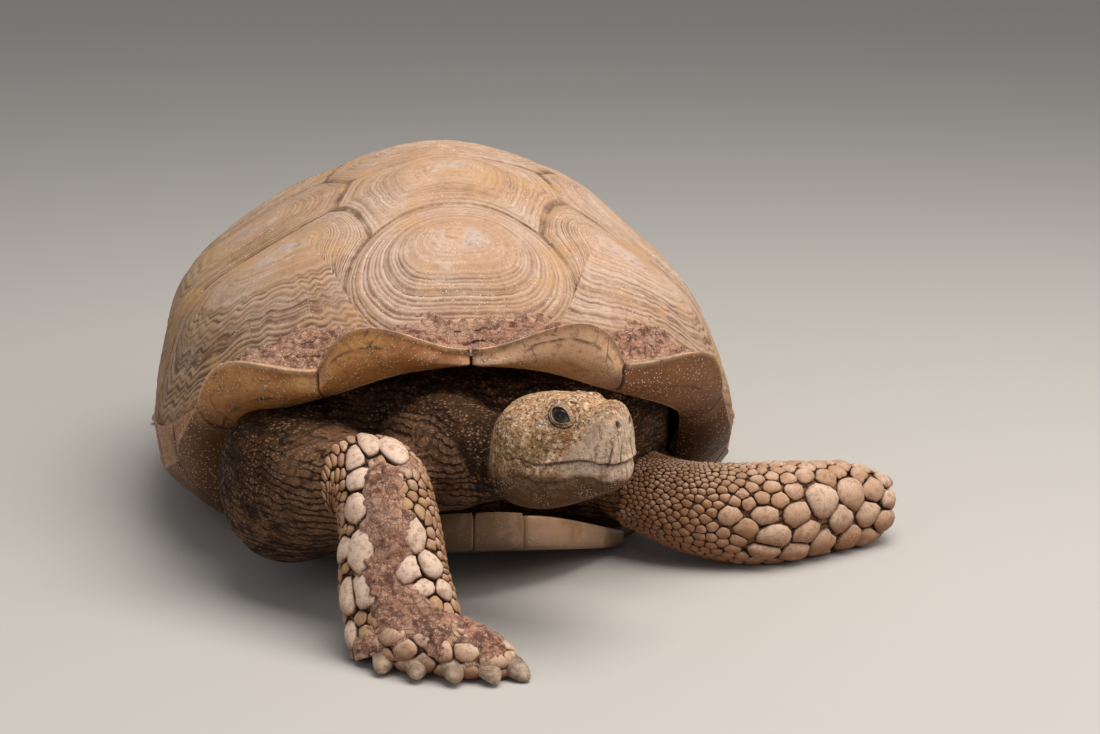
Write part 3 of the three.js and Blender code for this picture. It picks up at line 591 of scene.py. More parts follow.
sides = (("Left", 1), ("Right", -1))
# scutes whose rings ripple, and the side where they do, as a turn in the chart
ripplePlace = {"costalRight1": -2.2, "costalLeft1": 2.0, "vertebral1": 0.0}
# hearts: plan places of each scute's oldest spot, high and to the rear in most
vertebralHearts = [(-1, -196), (-6, -78), (0, 44), (2, 138), (0, 236)]
costalHearts = [(146, -150), (168, -22), (166, 80), (138, 178)]


def makeScutes():
    # the scutes nearest the front have more rows and columns, and the first costals ripple most
    for number, heart in enumerate(vertebralHearts, 1):
        rows, columns = (150, 300) if number < 3 else (84, 170)
        growthPlate(f"vertebral{number}", vertebralOutline(number), chartOf(*heart), 10 + number, rows, columns,
                    f"vertebral_{number}", 0.25)
    for word, side in sides:
        for number, (x, y) in enumerate(costalHearts, 1):
            rows, columns = (150, 320) if number == 1 else (84, 176)
            ripple = (0.4 if side > 0 else 1.0) if number == 1 else 0.3
            growthPlate(f"costal{word}{number}", costalOutline(number, side), chartOf(side * x, y),
                        20 + number + 10 * (side < 0), rows, columns, f"costal_{word.lower()}_{number}", ripple)


makeScutes()
print("scutes")


# the marginal scutes, by degrees round from the front: the outer edge, the lower inner lip, the hollow
# behind the flared edge, and the swell of the underside
rim = {
    "edgeHeight": [[0, 219], [10, 214], [22, 204], [50, 155], [58, 116], [65, 86], [72, 67], [80, 55], [90, 49],
                   [110, 58], [130, 90], [150, 98], [165, 86], [180, 70]],
    "edgeReach": [[0, 0.965], [22, 1.03], [48, 1.03], [58, 1.0], [70, 0.975], [90, 0.985], [120, 1], [150, 1.03],
                  [180, 1.045]],
    "lipHeight": [[0, 203], [10, 196], [22, 175], [45, 136], [54, 106], [61, 48], [67, 19], [75, 15], [90, 16],
                  [110, 25], [130, 70], [150, 78], [165, 70], [180, 54]],
    "lipReach": [[0, 0.95], [22, 0.975], [45, 0.92], [54, 0.87], [62, 0.82], [70, 0.82], [90, 0.85],
                 [110, 0.87], [130, 0.9], [150, 0.93], [180, 0.955]],
    "gutter": [[0, 7], [50, 6], [70, 0], [130, 2], [180, 3]],
    "roll": [[0, 7], [50, 9], [70, 4], [180, 4]],
    "bumpUp": [33, 26, 4, 2, 1, 1, 2, 3, 4, 4, 3, 0],  # of each marginal's middle, and of the supracaudal
    "bumpOut": [20, 12, 4, 2, 1, 1, 3, 6, 8, 8, 6, 2],
    "plate": 14, "edgeThick": 7,
    "bevel": 2.2,  # rounding at the sutures
    "inset": 0.35,  # how far each marginal stands back from its sutures
    "skew": 1.4,  # how far the bulge of the first three lies towards their rear ends, 1 is the middle
    "grooveDepth": 0.9, "lineDepth": 0.5, "crackDepth": 0.7,
    "swell": 1.1, "pit": 0.5,  # of the uneven horn
}


def rimPoint(angle, reach, height):
    # the plan's outline times reach, at a height
    flat = planAt(angle) * reach[..., None]
    return np.concatenate([flat, (height * np.ones_like(reach))[..., None]], -1)


def rimControls(angle, index, bump):
    # nine control points round a marginal scute's section, from the dome's seam out, under and back
    at = folded(angle)
    edgeReach = along(rim["edgeReach"], at) + np.asarray(rim["bumpOut"])[index] * bump / shell["frontLength"]
    edgeHeight = along(rim["edgeHeight"], at) + np.asarray(rim["bumpUp"])[index] * bump
    seam = 1 + shell["seamGap"] / shell["chartLength"]
    top = domeAt(angle, seam, -1.0) / mm
    inner = domeAt(angle, seam, float(rim["plate"])) / mm
    edge = rimPoint(angle, edgeReach, edgeHeight)
    edgeUnder = rimPoint(angle, edgeReach - 0.004, edgeHeight - rim["edgeThick"])
    lip = rimPoint(angle, along(rim["lipReach"], at), along(rim["lipHeight"], at))
    down = np.array([0, 0, 1.0])
    gutter = mixed(top, edge, 0.55) - down * along(rim["gutter"], at)[:, None]
    outward = unit(rimPoint(angle, np.ones_like(angle), 0.0))
    swell = along(rim["roll"], at)[:, None]
    under = mixed(edgeUnder, lip, 0.5) + outward * swell * 0.8 - down * swell * 0.3
    return np.stack([mixed(top, gutter, 0.10), gutter, edge, edgeUnder, under, lip, mixed(lip, inner, 0.15), inner,
                     mixed(top, inner, 0.25)], 1)


def swollen(share, index):
    # how far a marginal scute's edge bulges, by share of its length: half a sine, skewed outward in front
    return np.maximum(0, np.sin(np.pi * share ** np.where(np.less(index, 3), rim["skew"], 1.0)))


def closedSpline(controls, steps):
    # a Catmull-Rom loop through the second axis of an array of points
    t = (np.arange(steps) / steps)[None, None, :, None]
    a, b, c, d = (np.roll(controls, k, axis=1)[:, :, None, :] for k in (1, 0, -1, -2))
    curve = 0.5 * (2 * b + (c - a) * t + (2 * a - 5 * b + 4 * c - d) * t ** 2 + (3 * b - a - 3 * c + d) * t ** 3)
    return curve.reshape(len(controls), -1, 3)


def rimScute(name, node, index, side, angle, bump, s, width, steps, seed):
    # sections swept along the angles, s is the share of the way, rounded where the scute meets its neighbours
    grid = closedSpline(rimControls(angle, index, bump), steps)
    rows, columns = grid.shape[:2]
    fromEnd = np.minimum(s, 1 - s) * width
    rounding = rim["bevel"] * (1 - np.sqrt(np.clip(1 - (1 - np.clip(fromEnd / rim["bevel"], 0, 1)) ** 2, 0, 1)))
    middle = grid.mean(axis=1, keepdims=True)
    grid = grid - unit(grid - middle) * rounding[:, None, None]
    normal = normalsOf(grid) * side
    # u counts the control points round the section
    s, fromEnd, u = s[:, None], fromEnd[:, None], (np.arange(columns) / steps)[None, :]
    upper = smooth(-0.1, 0.25, u) * (1 - smooth(1.9, 2.2, u))  # the face that shows from above
    lower = smooth(2.4, 2.9, u) * (1 - smooth(4.9, 5.3, u))  # the rolled face below the edge
    out = u / 2.0
    ring = np.maximum(np.abs(s - 0.5) * 2, 1 - out * 0.85) if index > 2 else np.maximum(s * 0.9, 1 - out * 0.8)
    waver = 0.02 * roughness(grid, 22.0, seed, 3)
    groove = ringGrooves(np.clip(ring, 0, 1.1), waver, seed, 11, 0.25) * upper
    lengthwise = ringGrooves(np.broadcast_to(1 - (u - 2.4) / 3, groove.shape), waver * 1.5, seed + 5, 9, 0.0)
    lengthwise = lengthwise * lower * (0.12 if index < 2 else 0.4)
    outer = upper + lower
    relief = (-rim["grooveDepth"] * groove - rim["lineDepth"] * lengthwise
              + outer * rim["swell"] * roughness(grid, 38.0, seed + 2, 3)
              - outer * rim["pit"] * smooth(0.35, 0.6, roughness(grid, 12.0, seed + 3, 2)))
    crack = np.zeros_like(relief)
    for place, start, end, slope in cracks.get(name, ()):
        gap = s - place - slope * (u - 3.0) - 0.02 * roughness(grid, 14.0, seed + 6, 3)
        shown = smooth(start - 0.3, start, u) * (1 - smooth(end, end + 0.3, u))
        crack = np.maximum(crack, bell(gap * width, 0.9) * shown)
    for place, start, end, slope in seamCracks.get(name, ()):
        gap = (u - place - slope * (s - 0.5) - 0.06 * roughness(grid, 17.0, seed + 7, 3)) * 16
        shown = smooth(start - 0.05, start, s) * (1 - smooth(end, end + 0.05, s))
        crack = np.maximum(crack, bell(gap, 0.8) * shown)
    crack = crack * smooth(-0.5, 0.1, roughness(grid, 9.0, seed + 8, 2))
    grid = grid + normal * (relief - rim["crackDepth"] * crack)[..., None]
    ragged = np.clip(0.6 + 0.9 * roughness(grid, 7.0, seed + 4, 3), 0, 1)
    stainAndShade = np.clip(0.35 + 1.3 * roughness(grid, 16.0, seed + 12, 4), 0, 1)
    shown = {"groove": np.maximum(groove, lengthwise), "under": lower, "crack": crack, "edge": bell(u - 2.1, 0.45),
             "suture": bell(fromEnd + 1.2 * noise(grid, 5.0, seed + 11), 1.7) * ragged,
             "stain": bell(fromEnd, 16.0) * stainAndShade,
             "rearBrownAndShade": smooth(44, 56, folded(angle))[:, None],  # the rear of the flared edge: browner horn above, painted shade below
             "lit": rimTones.get(name, 0.5)}
    tips = {"suture": 1, "lit": rimTones.get(name, 0.5)}
    values = {key: np.r_[np.broadcast_to(value, groove.shape).ravel(), [tips.get(key, 0)] * 2]
              for key, value in shown.items()}
    return makePiece(name, withPoles(grid) * mm, tubeFaces(rows, columns), rimFinish, values, [node])


# across a scute: [share along it, from and to round its section, slope];
# along it: [place round its section, from and to as shares of its length, slope]
cracks = {"marginalRight1": [(0.60, 2.0, 2.9, 0.05)], "marginalLeft1": [(0.42, 2.1, 2.6, -0.03)],
          "marginalRight2": [(0.80, 3.6, 4.6, 0.05)], "marginalLeft2": [(0.25, 2.2, 2.8, 0.02)]}
seamCracks = {"marginalRight1": [(3.5, 0.42, 0.85, -0.5)], "marginalLeft1": [(3.3, 0.30, 0.85, 0.6)],
              "marginalRight2": [(4.2, 0.35, 0.95, 0.5)], "marginalLeft2": [(4.0, 0.2, 0.7, -0.4)]}

# how brightly lit each front scute's smooth face is painted, from painted shade to painted light; the others are
# between
rimTones = {"marginalLeft1": 1.0, "marginalRight1": 0.62, "marginalRight2": 0.45, "marginalLeft2": 0.12}

rimLook = {
    "caramel": (0.34, 0.125, 0.027), "amber": (0.70, 0.335, 0.095), "pink": (0.74, 0.40, 0.22),
    # the stained and bleached colours are painted shade and painted light on the front scutes' smooth faces
    "stain": (0.17, 0.08, 0.045), "stainAndShade": (0.15, 0.048, 0.012),
    "bleachedAndLit": (0.97, 0.60, 0.37),
    "horn": (0.44, 0.28, 0.165), "groove": (0.12, 0.06, 0.03), "crack": (0.06, 0.03, 0.017),
    "rear": (0.075, 0.034, 0.011), "sand": (0.82, 0.66, 0.52),
}


def rimMaterial():
    # smooth horn below the edge with painted light and shade, ridged horn above it, then stains, grooves, cracks,
    # painted shade at the rear, and sand
    f = Finish("rimScute")
    groove, under, suture, crack, edge, rearBrownAndShade, stain, lit = f.values(
        "groove", "under", "suture", "crack", "edge", "rearBrownAndShade", "stain", "lit")
    threads = 1 - f.cells(0.020, "DISTANCE_TO_EDGE", stretch=(1.0, 1.0, 0.45)).between(0.0, 0.035)
    threads = threads * f.patches(0.02, 0.50, 0.62)
    sand = f.specks(0.0031, 0.14, 0.30) * f.patches(0.03, 0.34, 0.54, 3)
    smoothHorn = f.layered(
        f.shade(f.patches(0.07, 0.35, 0.65, 3), rimLook["caramel"], rimLook["amber"]), rimLook,
        (f.patches(0.02, 0.5, 0.75) * 0.4, "groove"),
        # painted shade on the faces that turn down, painted light in pink on the faces that turn up
        ((1 - f.facing(-0.75, -0.05)) * 0.75, "caramel"),
        (f.facing(-0.45, 0.5) * f.patches(0.035, 0.30, 0.58) * 0.75, "pink"),
        # painted light and painted shade by scute: the most lit front scute paler on its smooth face, the least lit
        # darker
        (lit.between(0.55, 1.0) * f.facing(-0.95, -0.2) * f.patches(0.03, 0.2, 0.45) * 0.8, "bleachedAndLit"),
        ((1 - lit.between(0.1, 0.5)) * 0.8, "stainAndShade"),
        # a painted highlight in pink along the flared edge
        (edge * 0.85, "pink"))
    ridged = f.shade(f.patches(0.03, 0.4, 0.65, 5), rimLook["horn"], rimLook["pink"])
    ridged = f.shade(rearBrownAndShade * 0.65, ridged, rimLook["caramel"])
    colour = f.layered(
        f.shade(under, ridged, smoothHorn), rimLook,
        ((stain * 0.9).least(1.0), "stain"),
        ((groove ** 1.3) * 0.75, "groove"),
        (f.patches(0.012, 0.55, 0.75, 5, 0.7) * 0.3, "groove"),
        ((suture * 0.75 + crack * 0.85 + threads * under * 0.7).least(1.0), "crack"),
        # painted shade under the rear of the flared edge
        (rearBrownAndShade * under * 0.8, "rear"),
        (f.patches(0.005, 0.48, 0.68, 5, 0.7) * 0.5, "groove"),
        (sand * 0.85, "sand"))
    bump = sand * 0.9 + f.grain(0.003, 4) * 0.25
    rough = 0.48 + 0.3 * sand + 0.2 * f.grain(0.02, 3) - 0.08 * under
    return f.finish(colour, rough, bump, 0.0005, Specular_IOR_Level=0.32)


rimFinish = rimMaterial()


def makeRim():
    # the rows of a marginal crowd together at its sutures; the supracaudal spans the tail's middle
    inset = rim["inset"] / shell["meanRadius"]
    for word, side in sides:
        for index in range(11):
            rows, steps = ((160, 18), (140, 18), (58, 11))[min(index, 2)]
            even = np.linspace(-1, 1, rows)
            share = 0.5 - 0.5 * np.cos(np.pi * np.linspace(0, 1, rows)) * (0.75 + 0.25 * even ** 2)
            share = (share - share[0]) / (share[-1] - share[0])
            start, end = sutures[index:index + 2]
            width = span(planAt(np.array(start)) - planAt(np.array(end)))
            rimScute(f"marginal{word}{index + 1}", f"marginal_{word.lower()}_{index + 1}", index, side,
                     side * mixed(start + inset, end - inset, share), swollen(share, index), share, width, steps,
                     60 + index + 20 * (side < 0))
    share = np.sin(np.pi / 2 * np.linspace(-1, 1, 110))
    rimScute("supracaudal", "supracaudal", 11, 1, np.pi + share * (np.pi - sutures[11] - inset),
             np.cos(np.pi / 2 * share), (share + 1) / 2, 2 * marginalWidths[11], 12, 99)


makeRim()
print("rim")

# the plastron
plastron = {
    "gularWidth": 44, "humeralWidth": 150, "bridgeReach": 222, "bridgeRise": 28, "flatFront": -200,
    "gularTip": -352, "gularRise": 47, "thick": 12, "gularThick": 33, "gap": 0.5,
    "bridgeInset": 12, "femoralWidth": 138, "analWidth": 104, "analWave": 125, "rows": 32, "columns": 112,
    # where the scutes meet on the midline, front to rear
    "seams": (-275, -194, -138, 64, 168, 214),
    # how far each edge curves off its seam
    "curves": {"tip": 8, "gular": 62, "humeral": 117, "bridgeFront": 48, "pectoral": 20, "bridgeRear": 24,
               "femoral": 26, "anal": 34},
    "grooveDepth": 0.35, "edgeRound": 1.6,
    "stray": 9, "strayAt": -20, "strayWidth": 60,  # how far the seam of the two sides strays to the right
    # heights of the walls' rows as shares of the thickness, and how far each stands inside the outline
    "walls": [[0.12, -0.4], [0.3, -0.9], [0.5, -1.1], [0.7, -0.9], [0.88, 0.0], [0.97, 1.5]],
}


def plastronAt(x, y, depth):
    # the floor of the shell: flat on the ground, rising to the bridges and to the gular tip
    forward = np.clip((plastron["flatFront"] - y) / (plastron["flatFront"] - plastron["gularTip"]), 0, 1)
    reach = plastron["bridgeReach"] - plastron["humeralWidth"]
    outward = np.clip((np.abs(x) - plastron["humeralWidth"]) / reach, 0, 1)
    thick = mixed(plastron["thick"], plastron["gularThick"], forward)
    height = plastron["gularRise"] * forward ** 1.3 + plastron["bridgeRise"] * outward ** 1.5
    return np.stack([x, y, height + depth * thick], -1)


def plastronEdges(name):
    # width, front edge and rear edge of a scute as functions of the distance from the midline
    w, h, b = plastron["gularWidth"], plastron["humeralWidth"], plastron["bridgeReach"]
    gular, humeral, pectoral, abdominal, femoral, anal = plastron["seams"]
    bend = plastron["curves"]

    def out(x):
        # share of the way out over the bridge
        return np.clip((x - h) / (b - h), 0, 1)

    def gularFront(x):
        return plastron["gularTip"] + bend["tip"] * (x / w) ** 3

    def gularRear(x):
        return gular - bend["gular"] * x / w

    def humeralFront(x):
        beyond = gular - bend["gular"] + bend["humeral"] * (np.clip(x - w, 0, h) / (h - w)) ** 1.7
        return np.where(x < w, gularRear(x), beyond)

    def humeralRear(x):
        return humeral + 0 * x

    def pectoralFront(x):
        return humeral + bend["bridgeFront"] * out(x)

    def pectoralRear(x):
        return pectoral + bend["pectoral"] * x / b

    def abdominalRear(x):
        return abdominal + bend["bridgeRear"] * out(x)

    def femoralFront(x):
        return abdominal + 0 * x

    def femoralRear(x):
        return femoral - bend["femoral"] * (x / plastron["femoralWidth"]) ** 2

    def analRear(x):
        return anal + bend["anal"] * np.sin(np.pi * x / plastron["analWave"])

    return {
        "gular": (w, gularFront, gularRear), "humeral": (h, humeralFront, humeralRear),
        "pectoral": (b - plastron["bridgeInset"], pectoralFront, pectoralRear),
        "abdominal": (b - plastron["bridgeInset"], pectoralRear, abdominalRear),
        "femoral": (plastron["femoralWidth"], femoralFront, femoralRear),
        "anal": (plastron["analWidth"], femoralRear, analRear),
    }[name]


def plastronScute(name, side, seed):
    # rays from near the outer rear corner to the outline; rounded walls; rings on the underside
    width, front, rear = plastronEdges(name)
    gap, rows, columns = plastron["gap"], plastron["rows"], plastron["columns"]
    steps = 60
    t = np.linspace(0, 1, steps, endpoint=False)
    x0, x1 = gap, width - 0.3
    across = x0 + (x1 - x0) * t
    back = across[::-1] + (x1 - x0) / steps
    frontLine = np.stack([across, front(across) + gap], 1)
    rearLine = np.stack([back, rear(back) - gap], 1)
    (foreIn, aftIn), (foreOut, aftOut) = ((front(np.array(x)) + gap, rear(np.array(x)) - gap) for x in (x0, x1))
    sideLine = np.stack([np.full(steps, x1), mixed(foreOut, aftOut, t)], 1)
    midLine = np.stack([np.full(steps, x0), mixed(aftIn, foreIn, t)], 1)
    outline = resampled(np.vstack([frontLine, sideLine, rearLine, midLine]), columns)
    heart = mixed(outline.mean(0), np.array([x1, outline[:, 1].mean()]), 0.35)
    r = (np.arange(1, rows + 1) / rows)[:, None]
    place = heart + (outline - heart) * r[..., None]
    field = np.concatenate([place, np.full(place.shape[:-1] + (1,), seed * 9.0)], -1)
    groove = ringGrooves(r, 0.015 * roughness(field, 24.0, seed, 3), seed, 9, 0.3)
    relief = plastron["grooveDepth"] * groove + plastron["edgeRound"] * smooth(0.965, 1.0, r) ** 2
    stray = plastron["stray"] * bell(place[..., 1] - plastron["strayAt"], plastron["strayWidth"])
    flat = side * place[..., 0] - stray * (1 - place[..., 0] / width)
    under = plastronAt(flat, place[..., 1], np.zeros_like(flat))
    under[..., 2] += np.maximum(relief, 0.25)
    rimPlan = np.stack([flat[-1], place[-1, :, 1]], -1)
    middle = np.array([side * heart[0], heart[1]])
    arm = unit(rimPlan - middle)
    walls = []
    for level, inset in plastron["walls"]:
        swell = inset * (name in ("gular", "humeral")) - 0.2 * (level < 0.2)
        at = rimPlan - arm * np.maximum(swell, -gap * 0.8)
        walls.append(plastronAt(at[:, 0], at[:, 1], np.full(columns, level)))
    tops = [plastronAt(*(middle + (rimPlan - middle) * share).T, np.ones(columns)) for share in (0.96, 0.6, 0.3)]
    grid = np.concatenate([under, np.stack(walls + tops)]) * mm
    poles = np.stack([grid[0].mean(0), plastronAt(*middle, np.array(1.0)) * mm])
    beyond = np.zeros((len(grid) - rows, 1))
    beyond[:2, 0] = 0.7, 0.3
    edge = np.vstack([smooth(0.96, 1.0, r), beyond]) * np.ones(columns)
    values = {"groove": np.r_[groove.ravel(), np.zeros(len(beyond) * columns + 2)],
              "edge": np.r_[edge.ravel(), 0, 0]}
    word = "Left" if side > 0 else "Right"
    return makePiece(f"{name}{word}", np.vstack([grid.reshape(-1, 3), poles]), tubeFaces(len(grid), columns),
                     plastronFinish, values, [f"{name}_{word.lower()}"])


plastronLook = {
    "amberDark": (0.135, 0.062, 0.022), "horn": (0.22, 0.12, 0.052), "amber": (0.34, 0.17, 0.055),
    "olive": (0.22, 0.155, 0.08), "dark": (0.052, 0.03, 0.024), "mud": (0.33, 0.19, 0.125),
    "sand": (0.6, 0.46, 0.34),
}


def plastronMaterial():
    # horn in olive patches, muddier and paler left of the middle, dark in its grooves and edges
    f = Finish("plastronScute")
    groove, edge = f.values("groove", "edge")
    left = f.along("X").between(0.038, 0.052)
    stain = f.patches(0.025, 0.52, 0.66, 6, 0.7)
    grains = f.specks(0.0024, 0.12, 0.26)
    colour = f.layered(
        f.shade(f.patches(0.06, 0.4, 0.6, 3), plastronLook["horn"], plastronLook["amber"]), plastronLook,
        (f.patches(0.1, 0.5, 0.66, 2) * 0.7, "olive"),
        (left * f.patches(0.015, 0.38, 0.58, 5, 0.65) * 0.8, "mud"),
        ((1 - left) * 0.7, "amberDark"),
        ((groove * 0.5 + edge * 0.6).least(1.0), "dark"),
        (stain * 0.5, "mud"),
        (grains * f.patches(0.03, 0.5, 0.65, 3) * 0.5, "sand"))
    return f.finish(colour, 0.42 + 0.35 * stain, grains * 0.4 + f.grain(0.004, 4) * 0.4, 0.0005,
                    Specular_IOR_Level=0.45)


plastronFinish = plastronMaterial()
for number, name in enumerate(("gular", "humeral", "pectoral", "abdominal", "femoral", "anal")):
    plastronScute(name, 1, 120 + number)
    plastronScute(name, -1, 130 + number)
print("plastron")

# the flesh is tubes along stations; a station is [x, y, z, half width, half thickness], and wide is the
# direction of the half width
limbs = {
    "forelegRight": {
        "stations": [[-140, -205, 94, 60, 60], [-152, -285, 92, 66, 72], [-122, -350, 106, 60, 55],
                     [-86, -396, 118, 43, 38], [-76, -432, 94, 41, 35], [-74, -456, 56, 45, 33],
                     [-68, -474, 26, 46, 34], [-64, -484, 6, 46, 36]],
        "wide": [1, -0.25, 0.1]},
    "handRight": {
        "stations": [[-92, -470, 15, 17, 13], [-66, -498, 20, 28, 21], [-34, -514, 19, 29, 21],
                     [-2, -522, 13, 26, 15], [14, -524, 9, 14, 9]],
        "wide": [0, 1, 0]},
    "forelegLeft": {
        "stations": [[128, -205, 72, 42, 42], [166, -242, 61, 36, 36], [208, -260, 50, 41, 41],
                     [260, -262, 43, 45, 43], [305, -247, 41, 43, 38], [344, -230, 38, 40, 32],
                     [374, -219, 36, 34, 26], [387, -210, 36, 27, 20]],
        "wide": [0, 0.1, 1]},
    "hindlegLeft": {
        "stations": [[112, 150, 62, 46, 44], [158, 196, 60, 50, 46], [196, 232, 52, 50, 47],
                     [214, 254, 26, 48, 46], [222, 262, 4, 50, 47], [222, 262, -8, 50, 47]],
        "wide": [1, 0.6, 0]},
    "hindlegRight": {},  # the left one mirrored
    "tail": {
        "stations": [[0, 262, 70, 30, 26], [4, 305, 62, 25, 22], [16, 338, 48, 17, 15], [38, 358, 36, 10, 9],
                     [54, 362, 30, 4, 4]],
        "wide": [1, 0, 0]},
    "neck": {
        "stations": [[-22, -262, 116, 64, 63], [-24, -310, 124, 60, 58], [-18, -352, 133, 52, 50],
                     [0, -388, 140, 42, 43], [26, -412, 146, 34, 36]],
        "wide": [1, -0.3, 0]},
}
limbs["hindlegRight"] = {"stations": [[-row[0], *row[1:]] for row in limbs["hindlegLeft"]["stations"]],
                         "wide": [-1, 0.6, 0]}
flesh = {
    "inset": 1.8, "voxel": 4.0, "squareness": 0.9,
    "keep": 0.52,  # share of the triangles kept where the shell hides the skin
    "floor": 0.15,
    "neckFold": 8.0, "shoulderFold": 17,  # from one fold to the next
    "foldDepth": 2.3, "unevenness": 1.6, "sunk": 0.5,
    # longest edges of the skin, by place; the fine ones are round the eyes and nostrils
    "frontEdge": 5.2, "neckEdge": 3.4, "headEdge": 1.9, "beakEdge": 1.15, "lidEdge": 1.1, "fineEdge": 0.55,
}


def limbFrame(name, t):
    # centre, across, up and the two half widths at t, which counts stations from the root
    stations = np.asarray(limbs[name]["stations"], float)
    last = len(stations) - 1
    table = np.hstack([np.arange(last + 1.0)[:, None], stations])
    row = along(table, t)
    ahead = unit((along(table, np.minimum(t + 0.05, last)) - along(table, np.maximum(t - 0.05, 0)))[..., :3])
    wide = np.asarray(limbs[name]["wide"], float)
    across = unit(wide - ahead * (ahead @ wide)[..., None])
    return row[..., :3], across, np.cross(ahead, across), row[..., 3], row[..., 4]


def limbSurface(name, t, a, lift=0.0):
    # a superellipse turned by a round the limb's centre line, raised by lift
    centre, across, up, half, thick = limbFrame(name, t)
    return (centre + across * ((half + lift) * power(np.cos(a), flesh["squareness"]))[..., None]
            + up * ((thick + lift) * power(np.sin(a), flesh["squareness"]))[..., None])


def limbSolid(name):
    # rings of the limb's surface, set in under its scales
    last = len(limbs[name]["stations"]) - 1
    t, a = np.meshgrid(np.linspace(0, last, 50), turns(56), indexing="ij")
    return limbSurface(name, t, a, -flesh["inset"])


# levels of the body inside the shell: height, then shares of the half width, front and rear lengths
trunkLevels = [[14, 0.5, 0.57, 0.48], [30, 0.62, 0.68, 0.6], [60, 0.75, 0.8, 0.73], [95, 0.82, 0.875, 0.83],
               [130, 0.865, 0.915, 0.87], [158, 0.85, 0.905, 0.855], [180, 0.815, 0.88, 0.82]]
trunkInset = 37  # between the dome and the flesh below it


def trunkSolid():
    # superellipse rings inside the dome
    rows = [list(level) for level in trunkLevels]
    for up in (0.53, 0.68, 0.81, 0.91, 0.98):
        share = np.sqrt(1 - up ** 2) * (1 - trunkInset / shell["halfWidth"])
        rows.append([shell["domeBase"] + up * (shell["domeRise"] - trunkInset), share, share, share])
    height = np.linspace(15, rows[-1][0], 40)
    level = along(rows, height)
    angle = turns(110)
    plan = planAt(angle)
    level = level - 0.006  # a little inside the CAD trunk
    lengthwise = np.where(np.cos(angle)[None, :] > 0, level[:, 1:2], level[:, 2:3])
    flat = np.stack([plan[None, :, 0] * level[:, 0:1], plan[None, :, 1] * lengthwise], -1)
    return np.concatenate([flat, np.broadcast_to(height[:, None, None], flat.shape[:2] + (1,))], -1)


# the head's own frame has x forward from the nape, y to its left, z up from the mouth line
head = {
    "place": (24, -406, 149), "yaw": -40, "pitch": 5,
    # x, half width, top, underside
    "stations": [[0, 27, 28, -32], [10, 36, 42, -41], [29, 41, 50, -44], [52, 39, 52, -42], [70, 34, 52, -37],
                 [87, 28.5, 50, -31], [101, 24, 48, -26], [109, 21, 45, -22], [112.8, 16, 39, -16],
                 [114.8, 10, 32, -9]],
    "eyePlace": (71, 21.0, 38.5), "eyeRadius": 9.5, "eyeOut": (0.16, 0.93, 0.33), "eyeTilt": -27,
    "lid": 1.5, "eyeLong": 8.6, "eyeHigh": 5.6,
    "mouth": [[24, 1], [29, 3.8], [38, 5.6], [52, 1.2], [66, 1.8], [77, 3.6], [88, 4.6], [97, 4.0], [103, 1.6],
              [108, 2.0], [113, 0.2], [120, -1.0]],
    "nostril": (110.5, 9.0, 31.0),
    "widest": 0.48,  # level of the widest place, as a share from underside to top
    # hollows and swellings of the sides: [height, x, distance from the middle, z, width]
    "swells": [[-1.8, 91, 24, 33, 8], [1.6, 30, 38, 20, 16], [-1.2, 52, 38, 16, 12]],
    # heights and depths of what is sculpted
    "brow": 2.0, "snoutStep": 1.2, "snout": 1.0, "horn": 0.7, "mouthDepth": 2.6, "chinStep": 1.3, "lip": 0.7,
    "cuspDepth": 1.2, "napeFold": 1.3, "jawFold": 1.2, "cheekLine": 0.5, "plateGap": 0.36,
    "nostrilRim": 0.6, "nostrilDepth": 4.5, "lidCrease": 1.5, "lidEdge": 0.7, "outerCrease": 0.8,
    "lidLong": 9.4, "lidHigh": 7.2,  # half lengths of the oval that the creases round the eye follow
    "cusps": (9.0, 19.5),  # distances from the middle of the grooves up from the beak's edge
    "jawFolds": 3.9,  # from one fold behind the jaw to the next
    "plates": ((3.6, 31), (8.5, 32)),  # size and seed of the small plates at the sides and on top
}


def headTurn():
    # columns are the head's axes: a yaw about Z after a pitch about Y
    yaw, pitch = np.radians(head["yaw"]), np.radians(-head["pitch"])
    turn = np.array([[np.cos(yaw), -np.sin(yaw), 0], [np.sin(yaw), np.cos(yaw), 0], [0, 0, 1]])
    return turn @ np.array([[np.cos(pitch), 0, np.sin(pitch)], [0, 1, 0], [-np.sin(pitch), 0, np.cos(pitch)]])


def fromHead(points):
    # turned, then moved to the head's place
    return points @ headTurn().T + np.array(head["place"])


def toHead(points):
    # the reverse of fromHead
    return (points - np.array(head["place"])) @ headTurn()


def headSection(x):
    # half width, top, underside and level of the widest place
    half, top, under = np.moveaxis(along(head["stations"], x), -1, 0)
    return half, top, under, under + (top - under) * head["widest"]


def headSolid():
    # superellipse sections, flatter below the widest level than above it
    last = len(head["stations"]) - 1
    table = np.hstack([np.arange(last + 1.0)[:, None], np.asarray(head["stations"], float)])
    x, half, top, under = np.moveaxis(along(table, np.linspace(0, last, 60)), -1, 0)[..., None]
    a = turns(90)[None, :]
    level = under + (top - under) * head["widest"]
    up = power(np.sin(a), 0.8)
    z = level + up * np.where(up > 0, top - level, level - under)
    return fromHead(np.stack([x + 0 * a, (half - 0.5) * power(np.cos(a), 0.8), z], -1))


def closedTube(grid):
    # points and triangles of a grid closed by a fan at each end, facing outward
    points = withPoles(grid)
    quads, front, rear = tubeFaces(*grid.shape[:2])
    triangles = np.vstack([quads[:, [0, 1, 2]], quads[:, [0, 2, 3]], front, rear])
    a, b, c = (points[triangles[:, k]] for k in range(3))
    return points, triangles if np.einsum("ij,ij->", a, np.cross(b, c)) > 0 else triangles[:, ::-1]


def trianglesOf(mesh):
    # a mesh as an array of points and one of triangles
    mesh.calc_loop_triangles()
    points = np.empty(len(mesh.vertices) * 3, np.float32)
    mesh.vertices.foreach_get("co", points)
    triangles = np.empty(len(mesh.loop_triangles) * 3, np.int32)
    mesh.loop_triangles.foreach_get("vertices", triangles)
    return points.reshape(-1, 3).astype(float), triangles.reshape(-1, 3).astype(np.int64)


